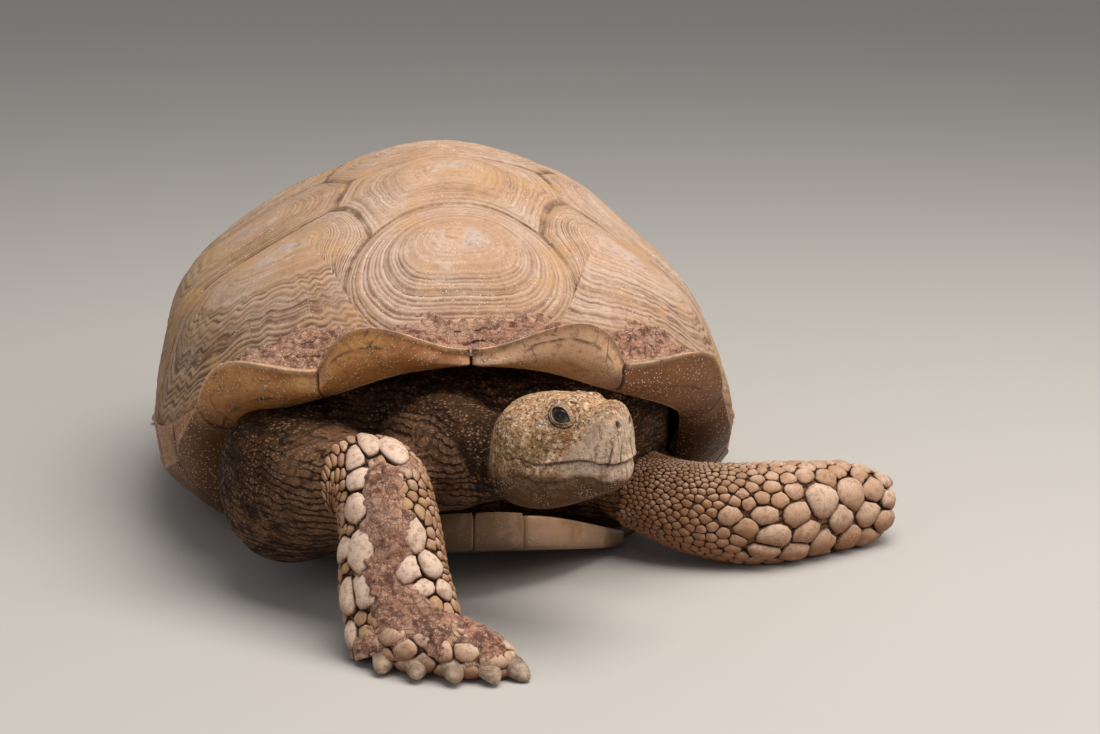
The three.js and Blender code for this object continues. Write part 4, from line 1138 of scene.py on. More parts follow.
def fused(solids, voxel, hidden):
    # voxel remesh of overlapping closed solids, thinned where hidden says so
    first = np.cumsum([0] + [len(points) for points, triangles in solids])
    triangles = np.vstack([triangles + offset for (_, triangles), offset in zip(solids, first)])
    mesh = bpy.data.meshes.new("rough")
    mesh.from_pydata(np.vstack([points for points, _ in solids]).tolist(), [], triangles.tolist())
    rough = placed("rough", mesh)
    remesh = rough.modifiers.new("remesh", "REMESH")
    remesh.mode, remesh.voxel_size = "VOXEL", voxel
    whole = bpy.data.meshes.new_from_object(rough.evaluated_get(bpy.context.evaluated_depsgraph_get()))
    rough.modifiers.clear()
    rough.data = whole
    points = trianglesOf(whole)[0]
    group = rough.vertex_groups.new(name="hidden")
    group.add(np.flatnonzero(hidden(points)).tolist(), 1.0, "REPLACE")
    thin = rough.modifiers.new("thin", "DECIMATE")
    thin.ratio, thin.vertex_group, thin.vertex_group_factor = flesh["keep"], "hidden", 1000
    thinned = bpy.data.meshes.new_from_object(rough.evaluated_get(bpy.context.evaluated_depsgraph_get()))
    result = trianglesOf(thinned)
    bpy.data.objects.remove(rough)
    return result


def refined(points, triangles, target):
    # splits every edge longer than target at its middle, until none is; triangles follow the split edges
    for _ in range(8):
        ends = np.sort(triangles[:, [[0, 1], [1, 2], [2, 0]]], axis=2)
        keys, back = np.unique(ends[..., 0] * len(points) + ends[..., 1], return_inverse=True)
        a, b = keys // len(points), keys % len(points)
        middle = (points[a] + points[b]) / 2
        long = span(points[a] - points[b]) > target(middle)
        if not long.any():
            break
        number = np.where(long, len(points) + np.cumsum(long) - 1, -1)[back].reshape(-1, 3)
        points = np.vstack([points, middle[long]])
        count = (number >= 0).sum(1)
        # each triangle is turned until its split edges come first
        shift = np.where(count == 1, np.argmax(number >= 0, axis=1),
                         np.where(count == 2, (np.argmin(number >= 0, axis=1) + 1) % 3, 0))
        turn = (np.arange(3) + shift[:, None]) % 3
        v, m = np.take_along_axis(triangles, turn, 1), np.take_along_axis(number, turn, 1)
        one, two, three = (count == k for k in (1, 2, 3))
        pieces = ((one, "v0 m0 v2, m0 v1 v2"), (two, "m0 v1 m1, v0 m0 m1, v0 m1 v2"),
                  (three, "v0 m0 m2, m0 v1 m1, m2 m1 v2, m0 m1 m2"))
        cut = [np.stack([(v if corner[0] == "v" else m)[rows, int(corner[1])] for corner in triple.split()], 1)
               for rows, triples in pieces for triple in triples.split(",")]
        triangles = np.vstack([v[count == 0], *cut])
    return points, triangles


def edgesOf(triangles):
    # the pairs of points that share an edge, each once
    ends = np.sort(triangles[:, [[0, 1], [1, 2], [2, 0]]].reshape(-1, 2), axis=1)
    return np.unique(ends, axis=0)


def relaxed(points, edges, rounds, weight):
    # each point moves towards the mean of its neighbours
    ends, others = np.r_[edges[:, 0], edges[:, 1]], np.r_[edges[:, 1], edges[:, 0]]
    count = np.bincount(ends, minlength=len(points))[:, None]
    for _ in range(rounds):
        mean = np.stack([np.bincount(ends, points[others, k], len(points)) for k in range(3)], 1) / count
        points = points + (mean - points) * weight
    return points


def vertexNormals(points, triangles):
    # sum of the area vectors of the triangles round each point, made unit length
    a, b, c = (points[triangles[:, k]] for k in range(3))
    face = np.cross(b - a, c - a)
    total = np.stack([np.bincount(triangles.ravel(), np.repeat(face[:, k], 3), len(points)) for k in range(3)], 1)
    return unit(total)


def nearestStation(name, points):
    # for each point: distance to the limb's centre line, its place along it in stations, and in millimetres
    last = len(limbs[name]["stations"]) - 1
    t = np.linspace(0, last, 80)
    centre = limbFrame(name, t)[0]
    gap = np.stack([span(points - c) for c in centre], 1)
    k = gap.argmin(1)
    return gap.min(1), t[k], runAlong(centre)[k]


def cellGap(points, centres, chunk=4000):
    # how much nearer the nearest centre is than the second nearest: 0 on the border between two cells
    result = np.empty(len(points))
    for i in range(0, len(points), chunk):
        gap = span(points[i:i + chunk, None] - centres[None])
        two = np.partition(gap, 1, axis=1)[:, :2]
        result[i:i + chunk] = two[:, 1] - two[:, 0]
    return result


def spacedPicks(points, spacing, seed):
    # a random choice of points that are at least spacing apart
    pick = np.random.default_rng(seed)
    order = pick.permutation(len(points))[:6000]
    left, chosen = points[order], []
    while len(left):
        chosen.append(left[0])
        left = left[span(left - left[0]) > spacing]
    return np.array(chosen)


eyeMiddle = np.array(head["eyePlace"], float)


def eyeFrame():
    # outward, forward and upward axes of the right eye in the head's frame, tilted along the lids
    out = unit(np.array(head["eyeOut"]) * [1, -1, 1])
    ahead = unit(np.array([1.0, 0, 0]) - out * out[0])
    high = np.cross(ahead, out)
    high = high * np.sign(high[2])
    tilt = np.radians(head["eyeTilt"])
    return out, ahead * np.cos(tilt) + high * np.sin(tilt), high * np.cos(tilt) - ahead * np.sin(tilt)


def mouthGap(local):
    # height above the mouth line, which hooks down at the beak's cusps
    return local[:, 2] - along(head["mouth"], local[:, 0] + 0.10 * (12 - np.abs(local[:, 1])).clip(0) * 0.5)


def sculptedHead(points, normals, inHead):
    # plates, lids, nostrils, beak and mouth, worked on the points of the head; gives masks as well
    local = toHead(points)
    towards = normals @ headTurn()
    x, y, z = local.T
    lateral = np.abs(y)
    masks = {key: np.zeros(len(points)) for key in ("beak", "crease", "cell", "lidRing", "chin", "nape")}
    lift = head["brow"] * bell(span(local * [1, 0, 1] - [70, 0, 48.5]), 9) * smooth(12, 20, lateral)
    for height, *place, width in head["swells"]:
        lift += height * bell(span(np.stack([x, lateral, z], 1) - place), width)
    lift -= head["snoutStep"] * bell(x - 95, 3.6) * smooth(40, 46, z)
    lift += head["snout"] * bell(x - 105, 6) * smooth(38, 45, z)
    # beak: smooth horn ahead of a slanting line, and the lower beak under the mouth line
    above = mouthGap(local)
    beakLine = 77 + 0.62 * (z - 4) + 4.0 * noise(points, 11.0, 5) + 2.0 * noise(points, 4.0, 6)
    upperBeak = smooth(-7.0, 6.0, x - beakLine) * smooth(-0.5, 0.5, above)
    upperBeak *= 1 - smooth(31, 44, z + 3 * noise(points, 7.0, 10))
    lowerBeak = smooth(66, 82, x) * smooth(-15, -10, above + 0.06 * (x - 90) + 2.0 * noise(points, 7.0, 7))
    lowerBeak *= 1 - smooth(-0.8, 0.2, above)
    masks["beak"] = np.maximum(upperBeak, lowerBeak)
    # the chin mask marks painted shade under the jaw
    masks["chin"] = smooth(3, 15, -above + 4 * noise(points, 14.0, 11)) * (1 - lowerBeak) * inHead
    lift += head["horn"] * upperBeak
    mouthOn = smooth(26, 31, x)
    groove = bell(above + 0.3, 0.85) * mouthOn * (0.45 + 0.55 * smooth(52, 84, x))
    belowLip = smooth(-9, -4, above) * (1 - smooth(-1.2, 0, above)) * smooth(60, 80, x)
    lift -= head["mouthDepth"] * groove + head["chinStep"] * belowLip
    lift += head["lip"] * bell(above - 2.2, 1.5) * mouthOn * smooth(40, 60, x)
    # cusps of the upper beak: short grooves up from the edge, either side of the front
    for place in head["cusps"]:
        cusp = bell(lateral - place + 0.26 * (z - 4), 0.75) * smooth(99, 105, x)
        cusp = cusp * smooth(-5, 0, above) * (1 - smooth(12, 20, z))
        lift -= head["cuspDepth"] * cusp
        masks["crease"] = np.maximum(masks["crease"], cusp)
    # the crease mask marks painted shade: the beak's grooves, the mouth, and further on the folds, the nostrils and
    # the creases round the eyes
    masks["crease"] = np.maximum(masks["crease"], groove)
    # folds at the back of the jaw and round the nape, and the crease under the cheek
    waver = 2.4 * noise(points, 16.0, 8) + 0.8 * noise(points, 6.0, 9)
    rearward = x + waver + 0.006 * (z - 4) ** 2
    folds = np.maximum(0, np.sin(rearward * 2 * np.pi / head["jawFolds"])) ** 2
    folds = folds * (1 - smooth(10, 24, x)) * (1 - smooth(30, 44, z))
    # the nape mask raises a fold and marks a painted highlight along it
    masks["nape"] = bell(rearward - 8, 2.6) * (1 - smooth(40, 50, z)) * smooth(-24, -8, z) * inHead
    lift += head["napeFold"] * masks["nape"]
    under = bell(above + 0.05 * (x - 60) + 16, 1.6) * smooth(20, 34, x) * (1 - smooth(70, 84, x))
    lift -= head["jawFold"] * folds + head["cheekLine"] * under
    masks["crease"] = np.maximum(masks["crease"], 0.7 * np.maximum(folds, 0.6 * under))
    # small plates, larger on top
    skinned = inHead * (1 - masks["beak"])
    onTop = smooth(40, 47, z)
    for (size, seed), share in zip(head["plates"], (1 - onTop, onTop)):
        centres = spacedPicks(local[inHead > 0.5], size, seed)
        gap = np.full(len(points), 9.0)
        near = inHead > 0
        gap[near] = cellGap(local[near], centres)
        border = bell(gap, 0.16 * size) * share * skinned
        lift -= head["plateGap"] * border
        masks["cell"] = np.maximum(masks["cell"], border)
    lumpy = (0.4 + 0.5 * smooth(38, 46, z) * smooth(60, 80, x)) * (1 - masks["beak"])
    lift += lumpy * roughness(local, 5.0, 3, 2) + 0.9 * roughness(local, 21.0, 4, 3)
    moved = local + towards * (lift * inHead)[:, None]
    # nostrils
    for side in (-1, 1):
        place = np.array(head["nostril"]) * [1, side, 1]
        hole = moved - place
        radial = np.hypot(hole[:, 1] - 0.2 * hole[:, 2] * side, hole[:, 2] * 0.7)
        close = inHead * (x > 100)
        pit = (1 - smooth(1.6, 2.5, radial)) * close
        moved[:, 0] += head["nostrilRim"] * bell(radial - 3.4, 0.9) * close - head["nostrilDepth"] * pit
        masks["crease"] = np.maximum(masks["crease"], pit)
    # lids: the skin follows a shell round the eyeball, open over an almond
    for side in (-1, 1):
        out, ahead, high = (axis * [1, -side, 1] for axis in eyeFrame())
        reach = moved - eyeMiddle * [1, side, 1]
        h, a, b = reach @ out, reach @ ahead, reach @ high
        r = np.hypot(a, b)
        close = inHead * (h > -3) * (r < 17)
        radius = head["eyeRadius"] + head["lid"]
        lidHigh = np.sqrt(np.maximum(radius ** 2 - r ** 2, 0))
        long = a / head["eyeLong"]
        almond = np.hypot(long, b / (head["eyeHigh"] * (1 - 0.25 * long ** 2).clip(0.4)))
        newHigh = np.maximum(h, lidHigh * (r < radius))
        below = smooth(2.5, -2.5, b + 0.15 * a)
        oval = np.hypot(a / head["lidLong"], b / head["lidHigh"])
        ringed = bell(oval - 1.33, 0.075) * (0.30 + 0.70 * below)
        newHigh = newHigh - head["lidCrease"] * ringed + head["lidEdge"] * bell(almond - 1.15, 0.11)
        outerRing = bell(oval - 1.72 + 0.05 * np.sin(a), 0.10) * (0.75 - 0.4 * below)
        newHigh = newHigh - head["outerCrease"] * outerRing
        opening = 1 - smooth(0.96, 1.07, almond)
        newHigh = mixed(newHigh, np.minimum(newHigh, 1.5), opening)
        moved = moved + out * ((newHigh - h) * close)[:, None]
        # the creases round the eye and the lid opening are marked for painted shade
        dark = np.maximum(np.maximum(ringed, 0.35 * outerRing), opening)
        masks["crease"] = np.maximum(masks["crease"], dark * close)
        masks["lidRing"] = np.maximum(masks["lidRing"], (1 - smooth(1.35, 1.6, almond)) * close)
    weight = inHead[:, None]
    return points * (1 - weight) + fromHead(moved) * weight, masks


def skinEdge(place):
    # the longest edge allowed at a place: long where nothing shows, short at the mouth, nostrils and eyes
    local = toHead(place)
    x, y, z = local.T
    y = np.abs(y)
    inHead = (x > 0) & (y < 50) & (np.abs(z) < 60) & (x < 125)
    eye, nostril = (span(np.stack([x, y, z], 1) - place) for place in (eyeMiddle, [112, 7, 31]))
    size = np.full(len(place), 99.0)
    for where, edge in (
            ((place[:, 1] < -235) & (place[:, 2] < 205), "front"),
            ((nearestStation("neck", place)[0] < 64) & (place[:, 1] < -290), "neck"),
            (inHead, "head"),
            (inHead & (np.abs(mouthGap(local)) < 4) & (x > 24), "lid"),
            (inHead & (x > 97), "beak"),
            (nostril < 5.5, "fine"),
            ((eye < 24) & inHead, "lid"),
            ((eye < 17.5) & inHead & (y > 18), "fine")):
        size[where] = flesh[edge + "Edge"]
    return size


def shellHides(points):
    # inside the shell, or close under its top
    x, y, z = points.T
    return ((np.abs(x) < 215) & (y > -225) & (y < 190) | (z > 215)) & (np.abs(y) < 300)


def ontoHead(points, inHead):
    # the head's points back onto its own surface, a superellipse that the remesh has rounded
    local = toHead(points)
    x, y, z = local.T
    half, top, under, level = headSection(x)
    tall = np.where(z > level, top - level, level - under)
    norm = ((np.abs(y) / half) ** 2.5 + (np.abs(z - level) / tall) ** 2.5) ** 0.4
    hold = inHead * smooth(6, 16, x) * (1 - smooth(112, 114.4, x)) * (norm > 0.5)
    scale = mixed(1.0, 1 / np.maximum(norm, 0.5), hold)
    local = np.stack([x, y * scale, level + (z - level) * scale], 1)
    return np.where((hold > 0)[:, None], fromHead(local), points)


def makeSkin():
    # tubes fused by a remesh, refined where it shows, then sculpted by moving points along their normals
    solids = [closedTube(grid) for grid in (trunkSolid(), headSolid(), *map(limbSolid, limbs))]
    points, triangles = fused(solids, flesh["voxel"], shellHides)
    points = relaxed(points, edgesOf(triangles), 5, 0.5)
    points, triangles = refined(points, triangles, skinEdge)
    points = relaxed(points, edgesOf(triangles), 6, 0.5)
    x, y, z = toHead(points).T
    inHead = smooth(1, 8, x) * (np.abs(y) < 60) * (np.abs(z) < 75) * (x < 130)
    points = ontoHead(points, inHead)
    points, masks = sculptedHead(points, vertexNormals(points, triangles), inHead)
    # loose folds stand round the neck behind the head, long creases run across the shoulders
    x, y, z = points.T
    neckGap, _, neckRun = nearestStation("neck", points)
    body = 1 - inHead
    onNeck = (1 - smooth(58, 76, neckGap)) * body
    waver = 5 * noise(points, 26.0, 40) + 2.5 * noise(points, 11.0, 41)
    ringed = np.maximum(0, np.sin((neckRun + waver) * 2 * np.pi / flesh["neckFold"])) ** 3
    ringed = ringed * onNeck * smooth(70, 120, neckRun)
    swirl = (z + 0.25 * y + 0.12 * x) / flesh["shoulderFold"] + 1.3 * noise(points, 60.0, 42)
    swirl = swirl + 0.35 * noise(points, 19.0, 45)
    deep = smooth(-0.25, 0.35, noise(points, 42.0, 47))
    lobes = np.maximum(0, np.sin(2 * np.pi * swirl)) ** 8 * body * (y < -235) * deep
    # the folds are marked for painted shade as well as sunk
    masks["fold"] = np.maximum(0.7 * ringed, 0.85 * lobes)
    lift = flesh["unevenness"] * roughness(points, 34.0, 44, 3) - flesh["foldDepth"] * masks["fold"] - flesh["sunk"]
    lift = lift * body
    points = points + vertexNormals(points, triangles) * lift[:, None]
    points[:, 2] = np.maximum(points[:, 2], flesh["floor"])
    local = toHead(points)
    masks["head"] = inHead * smooth(-4, 22, local[:, 0] + 5 * noise(points, 9.0, 46) + 0.15 * local[:, 2])
    masks["limb"] = np.zeros(len(points))
    for name, start in (("forelegRight", 2.2), ("handRight", 0), ("forelegLeft", 1.2), ("hindlegLeft", 1.6),
                        ("hindlegRight", 1.6)):
        gap, at, _ = nearestStation(name, points)
        masks["limb"] = np.maximum(masks["limb"], (gap < 75) * smooth(start - 0.6, start + 0.4, at) * body)
    print("skin", len(points), "points", len(triangles), "triangles")
    return makePiece("skin", points * mm, [triangles], skinFinish, masks,
                     ["trunk", "neck", "head", "lower_jaw", "tail", "foreleg_left", "foreleg_right",
                      "hindleg_left", "hindleg_right"])


skinLook = {
    "body": (0.022, 0.0085, 0.0032), "dust": (0.055, 0.024, 0.009), "granule": (0.30, 0.155, 0.072),
    "creaseShade": (0.010, 0.0055, 0.0035), "tan": (0.62, 0.365, 0.20), "olive": (0.31, 0.19, 0.08),
    "rust": (0.36, 0.155, 0.065), "mottle": (0.10, 0.05, 0.024), "throatShade": (0.075, 0.034, 0.014),
    "horn": (0.46, 0.33, 0.24), "hornPale": (0.68, 0.50, 0.37), "lid": (0.27, 0.165, 0.11),
    "sand": (0.82, 0.66, 0.50), "limb": (0.19, 0.10, 0.055), "fleck": (0.28, 0.15, 0.075),
}


def skinMaterial():
    # granular body skin with painted shade in its wrinkles and folds, and on the head tan over olive, paler where it
    # faces up, rusty in patches, mottled, with painted shade beneath the jaw and in the creases and a painted
    # highlight at the nape
    f = Finish("skin")
    beak, crease, cell, lidRing, fold, headMask, limb, chin, nape = f.values(
        "beak", "crease", "cell", "lidRing", "fold", "head", "limb", "chin", "nape")
    raised = f.specks(0.0034, 0.14, 0.50, jitter=0.85, stretch=(0.85, 0.85, 1.25))
    # fine wrinkles: level bands about six and a half millimetres apart that wander with two noises
    level = f.along("Z") * 950 + f.grain(0.05, 3) * 26 + f.grain(0.012, 2) * 6
    wrinkle = level.maths("SINE", level).between(0.2, 0.95) * f.patches(0.03, 0.32, 0.52, 2)
    low = 1 - f.along("Z").between(0.05, 0.14)
    body = f.layered(
        f.shade(f.patches(0.05, 0.35, 0.7), skinLook["body"], skinLook["dust"]), skinLook,
        (f.facing(0.2, 0.95) * 0.3, "dust"),
        (low * f.patches(0.02, 0.40, 0.60) * 0.7, "limb"),
        (limb * 0.8, "limb"),
        (raised * (0.18 + 0.8 * f.patches(0.02, 0.40, 0.58, 3)), "granule"),
        (f.specks(0.0050, 0.16, 0.34) * f.patches(0.03, 0.46, 0.60, 3) * 0.75, "fleck"),
        # painted shade in the fine wrinkles and in the folds
        (wrinkle * 0.85, "creaseShade"),
        (fold * 0.75, "creaseShade"))
    face = f.layered(
        f.shade(f.patches(0.022, 0.38, 0.62), skinLook["olive"], skinLook["tan"]), skinLook,
        (f.patches(0.014, 0.50, 0.66, 3, 0.6) * 0.75, "rust"),
        (f.facing(0.1, 0.95) * 0.55, "tan"),
        (f.patches(0.010, 0.50, 0.62, 4, 0.6) * 0.6, "lid"),
        (f.patches(0.0030, 0.46, 0.60, 4, 0.7) * 0.82, "mottle"),
        (f.patches(0.0045, 0.52, 0.62, 4, 0.7) * 0.65, "sand"),
        (cell * 0.30, "mottle"),
        # painted shade under the jaw
        (chin * 0.8, "throatShade"),
        # a painted highlight along the fold at the nape
        (nape * 0.75, "tan"))
    horn = f.layered(
        f.shade(f.patches(0.012, 0.4, 0.65), skinLook["horn"], skinLook["hornPale"]), skinLook,
        (f.patches(0.007, 0.48, 0.62, 5, 0.65) * 0.7, "lid"),
        (f.patches(0.0026, 0.50, 0.62, 4, 0.7) * 0.6, "mottle"),
        (f.patches(0.006, 0.55, 0.66, 4, 0.6, (1, 1, 0.35)) * 0.6, "mottle"),
        (f.patches(0.0035, 0.54, 0.64, 4, 0.7) * 0.6, "sand"))
    face = f.layered(
        f.shade(beak * 0.9, face, horn), skinLook,
        (lidRing * 0.6, "lid"),
        # painted shade on the faces that turn down, less on the beak
        ((1 - f.facing(-0.8, 0.0)) * (1 - beak * 0.75) * 0.8, "throatShade"))
    sand = f.specks(0.0017, 0.14, 0.32) * f.patches(0.02, 0.42, 0.58, 3)
    colour = f.layered(
        f.shade(headMask, body, face), skinLook,
        # painted shade in the head's creases: the mouth, the beak's grooves, the nostrils, the folds and round the
        # eyes
        ((crease * 0.9).least(1.0), "creaseShade"),
        (sand * (0.13 + 0.72 * headMask), "sand"))
    bump = raised * (1 - beak) * 0.6 + sand * 0.35 - wrinkle * (1 - headMask) * 0.7 + f.grain(0.0022, 4, 0.6) * 0.4
    rough = 0.74 + 0.12 * f.grain(0.02, 2) - 0.16 * beak
    return f.finish(colour, rough, bump, 0.0011, Specular_IOR_Level=0.10)


skinFinish = skinMaterial()
makeSkin()
print("skin")

eyeLook = {
    "iris": (0.012, 0.008, 0.006), "fleck": (0.028, 0.017, 0.010), "pupil": (0.004, 0.004, 0.005),
    "ring": (0.055, 0.042, 0.032), "white": (0.13, 0.105, 0.08),
    "irisReach": 5.3, "pupilReach": 2.4,  # distances from the eye's axis
    "cornea": 0.7, "corneaWidth": 0.62,  # how far the cornea stands out, and its width as an angle
}


def eyeMaterial():
    # rings round the eye's axis: pupil, iris, its dark border and the white
    f = Finish("eye")
    off, = f.values("off")
    iris, pupil = eyeLook["irisReach"], eyeLook["pupilReach"]
    colour = f.shade(f.patches(0.0012, 0.4, 0.65), eyeLook["iris"], eyeLook["fleck"])
    colour = f.layered(
        f.shade(off.between(pupil - 0.3, pupil + 0.3), eyeLook["pupil"], colour), eyeLook,
        (off.between(iris - 0.5, iris + 0.2), "ring"),
        (off.between(iris + 0.4, iris + 2.2), "white"))
    return f.finish(colour, 0.16, Coat_Weight=0.25, Coat_Roughness=0.04, Specular_IOR_Level=0.25)


def makeEye(side):
    # a ball of rings round its outward axis, with a cornea raised over the iris
    out, ahead, high = (axis * [1, -side, 1] for axis in eyeFrame())
    rows, columns = 60, 72
    polar = (np.pi * (np.arange(1, rows) / rows) ** 1.3)[:, None]
    turn = turns(columns)[None, :]
    radius = head["eyeRadius"] + eyeLook["cornea"] * bell(polar, eyeLook["corneaWidth"])
    shape = (np.cos(polar) * radius)[..., None] * out + (np.sin(polar) * radius)[..., None] * (
        np.cos(turn)[..., None] * ahead + np.sin(turn)[..., None] * high)
    front, rear = out * (head["eyeRadius"] + eyeLook["cornea"]), -out * head["eyeRadius"]
    points = fromHead(np.vstack([shape.reshape(-1, 3), front, rear]) + eyeMiddle * [1, side, 1]) * mm
    # distance from the axis, with 20 added on the ball's back
    off = (np.sin(polar) * radius + 20 * (polar > 1.6)) * np.ones_like(turn)
    word = "Left" if side > 0 else "Right"
    makePiece(f"eye{word}", points, tubeFaces(rows - 1, columns), eyeFinish,
              {"off": np.r_[off.ravel(), 0, 20]}, [f"eye_{word.lower()}"])


eyeFinish = eyeMaterial()
makeEye(-1)
makeEye(1)
print("eyes")

# scales of the legs and the tail
scaleShape = {
    "sides": 14, "rings": (0.5, 0.8, 0.95, 1.0), "doming": 2.6,
    "gap": 0.975,  # share of its cell that a scale fills
    "buried": 2.6,  # how far its base goes below the surface
    "sunk": 1.2,  # how far its edge goes below it
    "corner": 9,  # the higher, the sharper the corners
    "largest": 0.82,  # how far it may spread, in times its own size
    "uneven": 0.04, "lean": 0.03,
    "reach": 0.43,  # spacing of the free scales, in times the sum of their sizes
    "rounds": 10,  # of pushing them apart
}


class Lattice:
    # a limb's surface by distance along it and share of the way round it, both in even steps
    def __init__(self, name, rows=160, columns=240):
        last = len(limbs[name]["stations"]) - 1
        self.t = np.linspace(0, last, rows)
        a = turns(720)
        raw = limbSurface(name, *np.meshgrid(self.t, a, indexing="ij"))
        centre = limbFrame(name, self.t)[0]
        self.run = runAlong(centre)
        loop = np.concatenate([raw, raw[:, :1]], 1)
        steps = np.stack([runAlong(ring) for ring in loop])
        self.around = steps[:, -1]
        q = np.linspace(0, 1, columns, endpoint=False)
        even = [(q * step[-1], step) for step in steps]
        self.points = np.stack([np.stack([np.interp(at, step, ring[:, k]) for k in range(3)], 1)
                                for (at, step), ring in zip(even, loop)])
        self.normals = normalsOf(self.points)
        if np.sum((self.points - centre[:, None]) * self.normals) < 0:
            self.normals = -self.normals
        self.turns = np.stack([np.interp(at, step, np.r_[a, 2 * np.pi]) for at, step in even])

    def read(self, table, x, q):
        # a table at distance x and share q, bilinear, wrapping round the limb
        rows, columns = table.shape[:2]
        i = np.interp(x, self.run, np.arange(rows))
        j = (q % 1) * columns
        i0, j0 = np.minimum(i.astype(int), rows - 2), j.astype(int) % columns
        u, v = i - i0, j - j.astype(int)
        if table.ndim == 3:
            u, v = u[..., None], v[..., None]
        j1 = (j0 + 1) % columns
        near = table[i0, j0] * (1 - v) + table[i0, j1] * v
        far = table[i0 + 1, j0] * (1 - v) + table[i0 + 1, j1] * v
        return near * (1 - u) + far * u

    def girth(self, x):
        # the way round the limb at distance x
        return np.interp(x, self.run, self.around)

    def place(self, t, degrees):
        # distance along and share round for a station number and an angle
        x = np.interp(t, self.t, self.run)
        row = int(np.interp(t, self.t, np.arange(len(self.t))))
        gap = np.abs((np.radians(degrees) - self.turns[row] + np.pi) % (2 * np.pi) - np.pi)
        return x, gap.argmin() / self.turns.shape[1]


def scatterScales(lattice, sizeAt, zone, seed, fixed=()):
    # scale places drawn at random, each its own size away from the others, then pushed apart evenly;
    # sizeAt and zone are functions of the station number and the turn in degrees
    pick = np.random.default_rng(seed)
    x = pick.uniform(lattice.run[0], lattice.run[-1], 60000)
    q = pick.uniform(0, 1, len(x))
    t = np.interp(x, lattice.run, lattice.t)
    turn = np.degrees(lattice.read(lattice.turns, x, np.clip(q, 0, 0.995)))
    keep = zone(t, turn)
    x, q, t, turn = (value[keep] for value in (x, q, t, turn))
    size = sizeAt(t, turn)
    chosen = [(*lattice.place(station, degrees), long, broad) for station, degrees, long, broad in fixed]
    for fx, fq, long, broad in chosen:
        dx, dy = (x - fx) / (long / 2 + size / 2), wrapped(q - fq) * lattice.girth(fx) / (broad / 2 + size / 2)
        keep = dx ** 2 + dy ** 2 > 0.85
        x, q, size = x[keep], q[keep], size[keep]
    free = []
    while len(x):
        free.append((x[0], q[0], size[0]))
        gap = np.hypot(x - x[0], wrapped(q - q[0]) * lattice.girth(x[0]))
        keep = gap > scaleShape["reach"] * (size + size[0])
        x, q, size = x[keep], q[keep], size[keep]
    x, q, long, broad = np.vstack([np.array(chosen).reshape(-1, 4), np.array(free)[:, [0, 1, 2, 2]]]).T
    moving = np.arange(len(x)) >= len(chosen)
    for _ in range(scaleShape["rounds"]):
        near = nearOnes(lattice, x, q, 9)
        dx = x[:, None] - x[near]
        dy = wrapped(q[:, None] - q[near]) * lattice.girth(x)[:, None]
        gap = np.hypot(dx, dy) + 1e-6
        reach = 0.5 * ((long + broad) / 2)[:, None] + 0.5 * ((long + broad) / 2)[near]
        push = np.clip(reach * 1.02 - gap, 0, None) * 0.22
        shift = (push / gap)[..., None] * np.stack([dx, dy], -1)
        x = x + shift[..., 0].sum(1) * moving
        q = q + shift[..., 1].sum(1) * moving / lattice.girth(x)
    return x, q % 1, long, broad


def wrapped(q):
    # a share of a turn brought to between -0.5 and 0.5
    return (q + 0.5) % 1 - 0.5


def nearOnes(lattice, x, q, count):
    # the nearest few of the other scales to each one
    result = []
    for i in range(0, len(x), 500):
        gap = np.hypot(x[i:i + 500, None] - x[None], wrapped(q[i:i + 500, None] - q[None]) * lattice.girth(x)[None])
        gap[np.arange(len(gap)), i + np.arange(len(gap))] = 1e9
        result.append(np.argpartition(gap, count, axis=1)[:, :count])
    return np.vstack(result)


